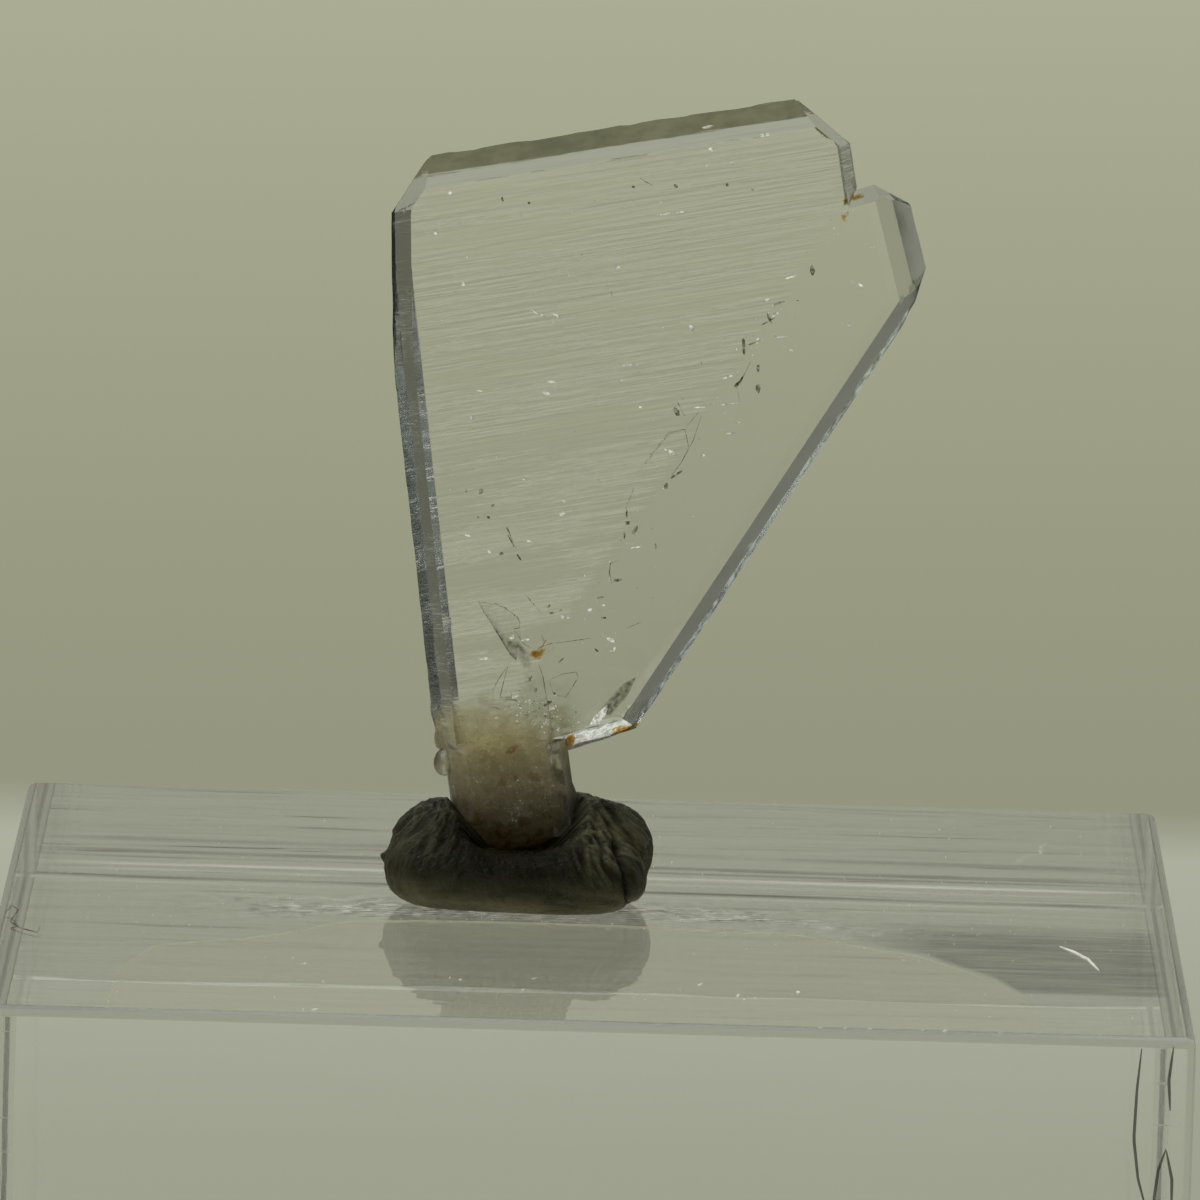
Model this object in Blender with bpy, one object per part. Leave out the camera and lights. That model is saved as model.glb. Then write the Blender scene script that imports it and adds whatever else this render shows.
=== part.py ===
"""A Japan law twin of quartz, stood in mounting putty on a clear acrylic display block.

Run in Blender 4.5: blender --background --python part.py
Metres, +Z up. The origin is the middle of the block's underside, and the crystal's broad face
looks along -Y. Every dimension below is in millimetres or degrees.

The twin is a flat plate. Two quartz crystals share its broad prism faces, and their long (c)
axes stand 84.55 degrees apart, which is the Japan law. Each is one convex solid bounded by
growth faces, and both grow out of one cloudy root.
"""

import math

import bmesh
import bpy
from mathutils import Matrix, Vector

MM = 0.001

# Acrylic block, a common 2 x 2 x 1 inch size
BLOCK_WIDTH = 50.8
BLOCK_HEIGHT = 25.4
BLOCK_EDGE = 0.4

# Gaps between the pieces
SEAT_GAP = 0.05  # putty over block
SOCKET_GAP = 0.12  # crystal root inside the putty

# Where the plate stands. X runs to its right, Z up and Y back; its foot is on the block's top.
PLATE_FOOT = (-3.7, 1.0, BLOCK_HEIGHT)
PLATE_YAW = 8.0  # its right side swings back
PLATE_LEAN = 5.0  # its top leans back
PLATE_THICKNESS = 2.2
STOCK = 90.0  # rough cube that each crystal is cut from
WELD = 0.002  # corners closer than this are one

# Quartz geometry, in degrees
TWIN_ANGLE = 84.55  # between the two c axes
C_LEAN = 9.3  # the first crystal's c axis leans left of upright
PRISM_SLOPE = 60.0  # a side prism face, from the broad prism face
TIP_SLOPE = 38.2  # the rhombohedral face above the broad face
CORNER_SLOPE = 66.9  # the rhombohedral faces at the tip's corners
CORNER_TURN = 47.7  # a tip corner's edge, from the tip's ridge

FIRST_AXIS = 90.0 + C_LEAN  # both axes as directions in the plate, up from its X
SECOND_AXIS = FIRST_AXIS - TWIN_ANGLE
TWIN_NORMAL = SECOND_AXIS - CORNER_TURN  # points from the first crystal into the second
TWIN_POINT = (14.9, 30.95)  # the notch, where the twin plane reaches the outline
TWIN_OVERLAP = 0.03

# Rims: the side's outward direction, a point (x, z) on the rim, the rim's depth behind the
# broad front face, and the slopes of the front and back faces that meet in it.
FIRST_RIMS = {
    "ridge": (FIRST_AXIS, (4.4, 33.55), 1.03, TIP_SLOPE, TIP_SLOPE),
    "right_corner": (FIRST_AXIS - CORNER_TURN, (13.3, 33.95), 1.1, CORNER_SLOPE, CORNER_SLOPE),
    "right_side": (FIRST_AXIS - 90.0, (14.8, 31.9), 1.1, PRISM_SLOPE, PRISM_SLOPE),
    "left_corner": (FIRST_AXIS + CORNER_TURN, (-4.55, 30.95), 1.15, CORNER_SLOPE, CORNER_SLOPE),
    "left_side_upper": (181.5, (-5.28, 27.0), 1.15, 58.0, 52.0),
    "left_side_lower": (187.2, (-4.27, 16.24), 1.3, PRISM_SLOPE, 36.0),
}
SECOND_RIMS = {
    "tip": (SECOND_AXIS, (17.9, 28.2), 1.3, TIP_SLOPE, TIP_SLOPE),
    "upper_corner": (SECOND_AXIS + CORNER_TURN, (16.5, 30.7), 1.2, CORNER_SLOPE, CORNER_SLOPE),
    "upper_side": (SECOND_AXIS + 90.0, (15.7, 31.1), 1.1, PRISM_SLOPE, PRISM_SLOPE),
    "lower_corner": (-16.5, (17.75, 26.4), 1.3, PRISM_SLOPE, PRISM_SLOPE),
    "long_side": (TWIN_NORMAL, (11.0, 15.45), 1.6, 58.0, 42.0),
    "under_side": (SECOND_AXIS - 90.0, (3.7, 6.7), 1.45, PRISM_SLOPE, 50.0),
}
UNDER_FACET = (-70.2, (5.3, 8.05), 0.0, 63.8, 90.0)  # a narrow extra face under the long side
PLATE_END = ((-2.95, 0.0, 6.5), (-0.35, 0.0, -0.94))  # its broken lower end, inside the root

# Root: a blunt cloudy foot with a small prism grown on its right and a bead on its left.
# Each broken or grown face is a point (x, y, z) in the plate and the way that it faces.
FOOT_FACES = {
    "left": ((-2.4, 0.0, 5.0), (-0.99, 0.0, -0.16)),
    "left_front": ((-2.15, -1.35, 5.0), (-0.75, -0.65, -0.1)),
    "front": ((0.0, -1.75, 5.0), (0.06, -1.0, 0.1)),
    "right": ((2.0, 0.0, 5.0), (0.99, 0.0, 0.16)),
    "top_right": ((0.8, -1.3, 7.1), (0.08, -0.5, 0.86)),
    "top_left": ((-1.5, -1.3, 6.9), (-0.3, -0.55, 0.78)),
    "back": ((0.0, 1.5, 5.0), (0.05, 1.0, 0.14)),
    "back_top": ((0.0, 1.25, 7.5), (0.1, 0.7, 0.7)),
    "back_left": ((-2.05, 1.2, 5.0), (-0.7, 0.7, 0.0)),
    "front_under": ((0.3, -1.5, 3.7), (0.1, -0.75, -0.66)),
    "under": ((0.0, 0.0, 2.8), (0.0, 0.0, -1.0)),
}
# A low step on the front face, which sinks into the plate upward and to the left
STEP_FACES = {
    "front": ((1.6, -1.27, 8.0), (-0.065, -1.0, 0.055)),
    "right": ((1.6, -1.2, 8.7), (0.97, -0.2, 0.16)),
    "left": ((-2.0, 0.0, 7.0), (-1.0, 0.0, 0.0)),
    "top": ((0.0, 0.0, 11.0), (0.0, 0.0, 1.0)),
    "under": ((0.0, 0.0, 5.5), (0.0, 0.0, -1.0)),
    "back": ((0.0, -0.6, 8.0), (0.0, 1.0, 0.0)),
}
LUMP_CENTRE = (0.45, -0.3, 4.1)
LUMP_HALF = (2.65, 1.65, 1.9)
LUMP_SWELL = 0.07  # how much it swells and sinks, as a share of its radius
PRISM_FOOT = (2.4, -0.7, 2.9)
PRISM_RADIUS = 0.68
PRISM_LENGTH = 4.2
PRISM_TIP_SLOPE = 12.0
BEAD_CENTRE = (-2.72, -0.2, 5.95)
BEAD_HALF = (0.42, 0.4, 0.62)

# Putty: rolled, folded lobes pressed round the root, as centre over the block, half sizes,
# turn about Z, and how full the lobe is (2 is an ellipsoid, more is squarer)
PUTTY_LOBES = {
    "front_roll": ((-3.2, -1.35, 1.45), (5.4, 2.0, 1.5), -4.0, 2.6),
    "left_fold": ((-5.85, 0.5, 2.3), (2.75, 3.0, 2.4), 10.0, 2.1),
    "back_bun": ((-3.0, 2.0, 2.1), (4.9, 2.6, 2.3), 0.0, 2.2),
    "right_fold": ((-0.3, 1.2, 2.25), (2.85, 3.0, 2.3), -14.0, 2.1),
}
PUTTY_PRESSED = 0.15  # how far the lobes are pressed down on the block
PUTTY_SWELL = 0.03
LOBE_SIDES = 32
LOBE_RINGS = 16
FLAT_ANGLE = 0.3  # faces within this of each other are one flat face


def new_object(name, bm, scale=MM):
    """Turns a millimetre bmesh into an object in metres."""
    bmesh.ops.scale(bm, vec=(scale, scale, scale), verts=bm.verts[:])
    bmesh.ops.recalc_face_normals(bm, faces=bm.faces[:])
    mesh = bpy.data.meshes.new(name)
    bm.to_mesh(mesh)
    bm.free()
    made = bpy.data.objects.new(name, mesh)
    bpy.context.scene.collection.objects.link(made)
    return made


def finish(piece, colour, roughness, transmission=0.0, ior=1.5):
    """Gives a piece its own plain material."""
    material = bpy.data.materials.new(piece.name + "_finish")
    material.use_nodes = True
    shader = material.node_tree.nodes["Principled BSDF"]
    shader.inputs["Base Color"].default_value = (*colour, 1.0)
    shader.inputs["Roughness"].default_value = roughness
    shader.inputs["Metallic"].default_value = 0.0
    shader.inputs["Transmission Weight"].default_value = transmission
    shader.inputs["IOR"].default_value = ior
    piece.data.materials.clear()
    piece.data.materials.append(material)


def combine(target, tools, operation):
    """Boolean of target with each tool in turn, applied; the tools are removed."""
    for tool in tools:
        step = target.modifiers.new(operation.title(), "BOOLEAN")
        step.operation = operation
        step.solver = "EXACT"
        step.object = tool
        depsgraph = bpy.context.evaluated_depsgraph_get()
        result = bpy.data.meshes.new_from_object(target.evaluated_get(depsgraph))
        target.modifiers.remove(step)
        target.data = result
        bpy.data.objects.remove(tool)
    return target


def direction(angle):
    """A unit vector in the plate, the angle up from its X."""
    return Vector((math.cos(math.radians(angle)), 0.0, math.sin(math.radians(angle))))


def rim_faces(outward, point, depth, front_slope, back_slope):
    """The front and back growth faces that meet in a rim, each as a point and a normal."""
    at = Vector((point[0], depth - PLATE_THICKNESS / 2, point[1]))
    faces = []
    for slope, side in ((front_slope, -1.0), (back_slope, 1.0)):
        lean = math.radians(slope)
        faces.append((at, direction(outward) * math.sin(lean) + Vector((0, side * math.cos(lean), 0))))
    return faces


def cut_solid(faces):
    """A convex bmesh: the stock cube with everything outside each face cut away."""
    bm = bmesh.new()
    bmesh.ops.create_cube(bm, size=STOCK)
    for point, normal in faces:
        everything = bm.verts[:] + bm.edges[:] + bm.faces[:]
        cut = bmesh.ops.bisect_plane(
            bm, geom=everything, plane_co=point, plane_no=normal, clear_outer=True
        )
        edges = [part for part in cut["geom_cut"] if isinstance(part, bmesh.types.BMEdge)]
        bmesh.ops.edgeloop_fill(bm, edges=edges)
        bmesh.ops.remove_doubles(bm, verts=bm.verts[:], dist=WELD)
    return bm


def rounded_lump(centre, half, swell=0.0, phase=0.0, fullness=2.0):
    """A closed lump: a superellipsoid whose radius swells and sinks in slow waves."""
    bm = bmesh.new()
    bmesh.ops.create_uvsphere(bm, u_segments=LOBE_SIDES, v_segments=LOBE_RINGS, radius=1.0)
    for vert in bm.verts:
        x, y, z = vert.co
        wave = math.sin(3.1 * x + phase) * math.cos(2.3 * z - phase) + math.sin(2.7 * y + 2 * phase)
        full = sum(abs(part) ** fullness for part in vert.co) ** (-1.0 / fullness)
        vert.co *= full * (1.0 + swell * wave)
        vert.co = Vector((vert.co[i] * half[i] + centre[i] for i in range(3)))
    return bm


def twin_member(name, rims, extra_faces):
    """One of the two crystals: its broad faces, its rims and the faces that end it."""
    half = PLATE_THICKNESS / 2
    faces = [(Vector((0, -half, 0)), Vector((0, -1, 0))), (Vector((0, half, 0)), Vector((0, 1, 0)))]
    for rim in rims.values():
        faces += rim_faces(*rim)
    return new_object(name, cut_solid(faces + extra_faces))


def twin_plane(into_second):
    """The twin plane as a cutting face, moved a little past itself so the halves overlap."""
    normal = direction(TWIN_NORMAL) * (1.0 if into_second else -1.0)
    point = Vector((TWIN_POINT[0], 0, TWIN_POINT[1])) + normal * TWIN_OVERLAP
    return (point, normal)


def faced_block(name, faces, grow=0.0):
    """A convex block bounded by named faces. Grow moves every face outward."""
    grown = []
    for point, toward in faces.values():
        normal = Vector(toward).normalized()
        grown.append((Vector(point) + normal * grow, normal))
    return new_object(name, cut_solid(grown))


def root_lump(grow):
    """The rounded, broken underside of the foot."""
    half = [size + grow for size in LUMP_HALF]
    return new_object("root_lump", rounded_lump(LUMP_CENTRE, half, LUMP_SWELL, 0.6))


def root_prism(grow):
    """A small six-sided crystal beside the foot, parallel to the first, with a low tip."""
    foot = Vector(PRISM_FOOT)
    turn = Matrix.Rotation(math.radians(-C_LEAN), 3, "Y")
    faces = [(foot, turn @ Vector((0, 0, -1)))]
    rise = math.radians(PRISM_TIP_SLOPE)
    for side in range(6):
        around = math.radians(60 * side + 30)
        outward = Vector((math.cos(around), math.sin(around), 0))
        faces.append((foot + turn @ (outward * (PRISM_RADIUS + grow)), turn @ outward))
        tip_normal = outward * math.sin(rise) + Vector((0, 0, math.cos(rise)))
        faces.append((foot + turn @ Vector((0, 0, PRISM_LENGTH + grow)), turn @ tip_normal))
    return new_object("root_prism", cut_solid(faces))


def root_parts(grow):
    return [faced_block("foot", FOOT_FACES, grow), root_lump(grow), root_prism(grow)]


def place_in_plate(piece):
    """Moves a piece made in the plate's own frame to where the plate stands."""
    turn = Matrix.Rotation(math.radians(PLATE_YAW), 4, "Z") @ Matrix.Rotation(
        math.radians(-PLATE_LEAN), 4, "X"
    )
    piece.data.transform(Matrix.Translation(Vector(PLATE_FOOT) * MM) @ turn)
    return piece


def merge_flat_faces(piece):
    """Joins the coplanar faces that the unions leave on each flat face."""
    bm = bmesh.new()
    bm.from_mesh(piece.data)
    bmesh.ops.remove_doubles(bm, verts=bm.verts[:], dist=WELD * MM)
    bmesh.ops.dissolve_limit(
        bm, angle_limit=math.radians(FLAT_ANGLE), verts=bm.verts[:], edges=bm.edges[:]
    )
    bm.to_mesh(piece.data)
    bm.free()


def make_crystal():
    end = tuple(Vector(part) for part in PLATE_END)
    first = twin_member("twin_crystal", FIRST_RIMS, [twin_plane(True), end])
    facet = rim_faces(*UNDER_FACET)[0]
    second = twin_member("second_crystal", SECOND_RIMS, [twin_plane(False), facet])
    bead = new_object("bead", rounded_lump(BEAD_CENTRE, BEAD_HALF))
    step = faced_block("low_step", STEP_FACES)
    crystal = combine(first, [second, step] + root_parts(0.0) + [bead], "UNION")
    merge_flat_faces(crystal)
    place_in_plate(crystal)
    finish(crystal, (0.80, 0.80, 0.74), 0.03, transmission=1.0, ior=1.544)
    return crystal


def make_putty():
    """The lobes joined, pressed flat on the block, with a socket for the crystal's root."""
    lobes = []
    for index, (name, (centre, half, turn, fullness)) in enumerate(PUTTY_LOBES.items()):
        shape = rounded_lump((0, 0, 0), half, PUTTY_SWELL, 0.9 * index, fullness)
        lobe = new_object(name, shape)
        above = Vector((centre[0], centre[1], centre[2] + BLOCK_HEIGHT - PUTTY_PRESSED))
        spin = Matrix.Rotation(math.radians(turn), 4, "Z")
        lobe.data.transform(Matrix.Translation(above * MM) @ spin)
        lobes.append(lobe)
    putty = combine(lobes[0], lobes[1:], "UNION")
    putty.name = "mounting_putty"
    under = bmesh.new()
    bmesh.ops.create_cube(under, size=BLOCK_HEIGHT)
    drop = BLOCK_HEIGHT / 2 + SEAT_GAP
    bmesh.ops.translate(under, verts=under.verts[:], vec=(0, 0, drop))
    socket = root_parts(SOCKET_GAP)
    for tool in socket:
        place_in_plate(tool)
    combine(putty, [new_object("under_putty", under)] + socket, "DIFFERENCE")
    finish(putty, (0.075, 0.068, 0.048), 0.55)
    return putty


def make_block():
    """A polished cast block with eased edges."""
    bm = bmesh.new()
    bmesh.ops.create_cube(bm, size=1.0)
    bmesh.ops.scale(bm, vec=(BLOCK_WIDTH, BLOCK_WIDTH, BLOCK_HEIGHT), verts=bm.verts[:])
    bmesh.ops.translate(bm, vec=(0, 0, BLOCK_HEIGHT / 2), verts=bm.verts[:])
    block = new_object("acrylic_block", bm)
    easing = block.modifiers.new("Eased edges", "BEVEL")
    easing.width = BLOCK_EDGE * MM
    easing.segments = 2
    easing.limit_method = "ANGLE"
    finish(block, (0.86, 0.88, 0.84), 0.04, transmission=1.0, ior=1.49)
    return block


def main():
    for old in list(bpy.data.objects):
        bpy.data.objects.remove(old)
    make_block()
    make_putty()
    make_crystal()


main()
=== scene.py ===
"""Looks of a Japan law twin of quartz in mounting putty on a clear acrylic block.

Metres, +Z up, the block's underside at z = 0. Sizes below are in millimetres or degrees, but
those inside shader nodes and the camera's are in metres.
"""

import math

import bmesh
import bpy
import numpy as np
from mathutils import Matrix, Vector


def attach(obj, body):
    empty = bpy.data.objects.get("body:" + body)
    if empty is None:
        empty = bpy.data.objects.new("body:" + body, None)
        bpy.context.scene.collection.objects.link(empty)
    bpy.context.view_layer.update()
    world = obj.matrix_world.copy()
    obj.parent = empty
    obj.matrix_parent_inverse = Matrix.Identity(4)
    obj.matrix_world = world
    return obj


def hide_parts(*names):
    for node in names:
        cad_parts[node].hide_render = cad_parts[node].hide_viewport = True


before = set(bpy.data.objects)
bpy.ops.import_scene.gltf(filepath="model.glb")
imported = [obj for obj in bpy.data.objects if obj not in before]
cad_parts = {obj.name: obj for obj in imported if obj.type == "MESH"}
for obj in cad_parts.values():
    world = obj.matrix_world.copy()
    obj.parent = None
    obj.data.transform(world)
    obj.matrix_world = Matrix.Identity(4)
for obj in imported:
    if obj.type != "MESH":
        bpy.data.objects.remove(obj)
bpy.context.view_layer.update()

MM = 0.001

# The plate's own frame: x to its right, y back, z up, from the crystal's foot on the block
PLATE_FOOT = np.array((-3.7, 1.0, 25.4))
PLATE_YAW = 8.0
PLATE_LEAN = 5.0
HALF_PLATE = 1.1
C_LEAN = 9.3  # the first crystal's long axis leans left of upright
LONG_AXIS = np.array((-math.sin(math.radians(C_LEAN)), math.cos(math.radians(C_LEAN))))
SHORT_AXIS = np.array((LONG_AXIS[1], -LONG_AXIS[0]))
TWIN_POINT = np.array((14.9, 30.95))  # the notch in the outline, as plate x and z
TWIN_TURN = math.radians(-32.95)  # points from the first crystal into the second
TWIN_NORMAL = np.array((math.cos(TWIN_TURN), math.sin(TWIN_TURN)))
ROOT_TOP = 8.6  # the height in the plate above which its faces are whole
CREASE_SHIFT = 0.12  # how far the first crystal's back crease is moved out
BLOCK_TOP = 25.4
BLOCK_HALF = 25.4  # half the block's width and depth


def to_linear(text):
    """An sRGB hex colour as linear RGBA."""
    parts = [int(text[i : i + 2], 16) / 255 for i in (1, 3, 5)]
    return [p / 12.92 if p <= 0.04045 else ((p + 0.055) / 1.055) ** 2.4 for p in parts] + [1.0]


def node(tree, kind, inputs=(), **settings):
    """Adds a shader node: settings are its properties, inputs its values or what feeds them.

    Inputs are given by their labels, or in the order of the node's own inputs in use. A node
    given as a value stands for its first output in use.
    """
    made = tree.nodes.new("ShaderNode" + kind)
    for name, value in settings.items():
        setattr(made, name, value)
    sockets = [socket for socket in made.inputs if socket.enabled]
    if isinstance(inputs, dict):
        named = {socket.name: socket for socket in reversed(sockets)}
        pairs = [(named[name], value) for name, value in inputs.items()]
    else:
        pairs = zip(sockets, inputs)
    for socket, value in pairs:
        if isinstance(value, bpy.types.Node):
            value = next(output for output in value.outputs if output.enabled)
        if isinstance(value, bpy.types.NodeSocket):
            tree.links.new(value, socket)
        else:
            socket.default_value = to_linear(value) if isinstance(value, str) else value
    return made


def new_material(name):
    """An empty material, its node tree, and the place of each point in the object's metres.

    A noise of scale S has a pattern 1000 / S mm across.
    """
    material = bpy.data.materials.new(name)
    material.use_nodes = True
    tree = material.node_tree
    tree.nodes.clear()
    return material, tree, node(tree, "TexCoord").outputs["Object"]


def add_object(name, data):
    """An object in the scene's own collection."""
    made = bpy.data.objects.new(name, data)
    bpy.context.scene.collection.objects.link(made)
    return made


def soft_light(name, place, target, size, watts, colour):
    """A rectangular softbox at a place, turned to a target and hidden from the camera."""
    lamp = bpy.data.lights.new(name, "AREA")
    lamp.shape = "RECTANGLE"
    lamp.size, lamp.size_y = (s * MM for s in size)
    lamp.energy = watts
    lamp.color = to_linear(colour)[:3]
    made = add_object(name, lamp)
    made.location = Vector(place) * MM
    made.rotation_euler = (Vector(target) - Vector(place)).to_track_quat("-Z", "Y").to_euler()
    made.visible_camera = False


# Putty lobes, as centre over the block, half sizes, turn about Z, and how full the lobe is
FRONT_LOBES = (
    ((-3.2, -1.35, 1.30), (5.3, 2.0, 1.5), -4.0, 2.6),
    ((-5.85, 0.3, 2.15), (2.75, 2.9, 2.35), 10.0, 2.1),
    ((-1.15, -0.05, 1.75), (2.85, 2.7, 1.9), -10.0, 2.2),
)
REAR_LOBES = (
    ((-3.0, 2.0, 1.95), (4.9, 2.6, 2.3), 0.0, 2.2),
    ((-0.3, 1.75, 2.10), (2.85, 2.5, 2.3), -14.0, 2.1),
)
# How softly lobes blend: rolled into one, or folded on to each other with a crease
ROLLED, FOLDED = 0.42, 0.04
PUTTY_HEART = np.array((-3.1, -0.1, 26.4))  # every ray from here leaves the putty once
SEAT = 25.45
FAN_X, FAN_Z = -3.9, 34.2  # the putty's torn ridges fan out below this point
CREASE_X, CREASE_Z = (1.75, 1.55, 0.9, 0.0), (25.9, 27.5, 29.0, 30.2)  # the front fold, going up
PRISM_FOOT, PRISM_RADIUS = (2.4, -0.7, 2.9), 0.74


def plate_axes():
    """The plate's x, y and z directions in the world, as the columns of a matrix."""
    yaw, lean = math.radians(PLATE_YAW), math.radians(-PLATE_LEAN)
    turn = ((math.cos(yaw), -math.sin(yaw), 0), (math.sin(yaw), math.cos(yaw), 0), (0, 0, 1))
    tip = ((1, 0, 0), (0, math.cos(lean), -math.sin(lean)), (0, math.sin(lean), math.cos(lean)))
    return np.array(turn) @ np.array(tip)


AXES = plate_axes()


def from_plate(points):
    """World points, in mm, from points in the plate's frame."""
    return np.asarray(points) @ AXES.T + PLATE_FOOT


def to_plate(points):
    """Points in the plate's frame from world points in mm."""
    return (points - PLATE_FOOT) @ AXES


def stacked(*parts):
    """Arrays or numbers side by side, as the last axis of one array: x, y and z make points."""
    return np.stack(np.broadcast_arrays(*parts), axis=-1)


def unit(vectors):
    """Vectors brought to a length of one."""
    return vectors / np.maximum(np.linalg.norm(vectors, axis=-1, keepdims=True), 1e-9)


LATTICE = np.random.default_rng(7).random((32, 32, 32))


def smooth_noise(points, seed=0):
    """Value noise between -1 and 1: random lattice values blended by a smooth step in each axis."""
    at = np.asarray(points, float) + np.array((17.3, 5.7, 11.1)) * (seed + 1)
    low = np.floor(at).astype(int)
    part = at - low
    part = part * part * (3 - 2 * part)
    total = np.zeros(at.shape[:-1])
    for corner in np.ndindex(2, 2, 2):
        weight = np.prod(np.where(np.array(corner) == 1, part, 1 - part), axis=-1)
        cell = (low + corner) % 32
        total += weight * LATTICE[cell[..., 0], cell[..., 1], cell[..., 2]]
    return total * 2 - 1


def layered_noise(points, layers, seed=0):
    """Sum of smooth noise, each layer twice as fine and half as strong as the last."""
    points = np.asarray(points, float)
    return sum(smooth_noise(points * 2.0**i, seed + i) / 2.0**i for i in range(layers))


def lobe_gap(points, centre, half, turn, fullness):
    """About how far a point is outside a superellipsoid: its own norm less 1, times its least half."""
    spin = math.radians(turn)
    away = points - (np.array(centre) + (0, 0, BLOCK_TOP))
    x = away[..., 0] * math.cos(spin) + away[..., 1] * math.sin(spin)
    y = -away[..., 0] * math.sin(spin) + away[..., 1] * math.cos(spin)
    parts = (np.abs(x / half[0]) ** fullness + np.abs(y / half[1]) ** fullness
             + np.abs(away[..., 2] / half[2]) ** fullness)
    return (parts ** (1 / fullness) - 1) * min(half)


def root_gap(points):
    """About how far a point is outside the crystal's foot: its lump, its block and its prism."""
    p = to_plate(points)
    lump = lobe_gap(p, (0.45, -0.3, 4.1 - BLOCK_TOP), (2.72, 1.72, 1.97), 0.0, 2.0)
    q = np.abs(p - (-0.15, -0.1, 4.9)) - (2.15, 1.45, 2.0)
    foot = np.linalg.norm(np.maximum(q, 0), axis=-1) + np.minimum(q.max(axis=-1), 0) - 0.15
    axis = np.array((LONG_AXIS[0], 0, LONG_AXIS[1]))
    away = p - PRISM_FOOT
    along = away @ axis
    spine = np.linalg.norm(away - along[..., None] * axis, axis=-1)
    prism = np.maximum(spine - PRISM_RADIUS, -along - 0.05)
    return np.minimum(np.minimum(lump, foot), prism)


def blended(gaps, blend):
    """The least of the gaps, rounded where they meet: a soft minimum."""
    least = np.min(gaps, axis=0)
    return least - blend * np.log(np.exp((least - gaps) / blend).sum(axis=0))


def bowl_gap(points):
    """About how far a point is outside the bowl that the crystal's foot leaves in the front lobe."""
    p = to_plate(points)
    wide = np.abs(p[..., 0] - 0.45) / 2.75
    deep = np.maximum(4.6 - p[..., 2], 0) / 2.35
    return np.maximum(((wide**2.6 + deep**2.6) ** (1 / 2.6) - 1) * 2.4, p[..., 1] + 0.4)


def putty_gap(points):
    """The lobes joined with a soft blend, less the crystal's foot, its bowl and what is below."""
    folds = [blended(np.stack([lobe_gap(points, *lobe) for lobe in lobes]), ROLLED)
             for lobes in (FRONT_LOBES, REAR_LOBES)]
    joined = blended(np.stack(folds), FOLDED)
    joined = -blended(np.stack((-joined, bowl_gap(points))), 0.14)
    joined = np.maximum(joined, 0.03 - root_gap(points))
    return np.maximum(joined, SEAT - points[..., 2])


def rays_to(heart, gap, around, down, reach):
    """Where rays from the heart last leave a shape: steps inward from the reach, then halving."""
    turn = np.linspace(0, 2 * np.pi, around, endpoint=False)
    fall = (np.arange(down) + 0.5) / down * np.pi
    turn, fall = np.meshgrid(turn, fall)
    rays = stacked(np.cos(turn) * np.sin(fall), np.sin(turn) * np.sin(fall), np.cos(fall))
    far = np.full(turn.shape, float(reach))
    near = np.zeros(turn.shape)
    open_ray = np.ones(turn.shape, bool)
    for step in np.arange(reach, 0, -0.08):
        inside = gap(heart + rays * step) < 0
        found = inside & open_ray
        near[found] = step
        far[open_ray & ~inside] = step
        open_ray &= ~inside
    for _ in range(9):
        middle = (near + far) / 2
        inside = gap(heart + rays * middle[..., None]) < 0
        near = np.where(inside, middle, near)
        far = np.where(inside, far, middle)
    return heart + rays * near[..., None]


def grid_faces(rows, columns, closed_columns=True):
    """Quads between neighbouring rows and columns of a grid of points."""
    last = columns if closed_columns else columns - 1
    row, column = np.meshgrid(np.arange(rows - 1), np.arange(last), indexing="ij")
    beside = (column + 1) % columns
    below = (row + 1) * columns
    row = row * columns
    return stacked(row + column, below + column, below + beside, row + beside).reshape(-1, 4)


def fan(ring, tip, flipped=False):
    """Triangles from each side of a closed ring of point numbers to the number of its tip."""
    sides = (np.roll(ring, -1), ring) if flipped else (ring, np.roll(ring, -1))
    return stacked(*sides, tip)


def put_mesh(name, points, faces, material):
    """A smooth mesh object in metres from points in mm and lists of faces, at the origin."""
    mesh = bpy.data.meshes.new(name)
    mesh.from_pydata((np.asarray(points) * MM).tolist(), [], [list(f) for f in faces])
    mesh.polygons.foreach_set("use_smooth", np.ones(len(mesh.polygons), bool))
    mesh.update()
    mesh.materials.append(material)
    return add_object(name, mesh)


def keep_values(piece, name, values):
    """Values kept on a piece's points, for its material to read."""
    kept = piece.data.attributes.new(name, "FLOAT", "POINT")
    kept.data.foreach_set("value", values.astype(np.float32))
    return piece


def vectors_of(items, name):
    """One vector from each item of a mesh, as the rows of an array."""
    found = np.empty(len(items) * 3)
    items.foreach_get(name, found)
    return found.reshape(-1, 3)


def surface_normals(grid):
    """Outward unit normals of a grid that closes around its columns."""
    across = np.roll(grid, -1, axis=1) - np.roll(grid, 1, axis=1)
    return unit(np.cross(np.gradient(grid, axis=0), across))


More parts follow.
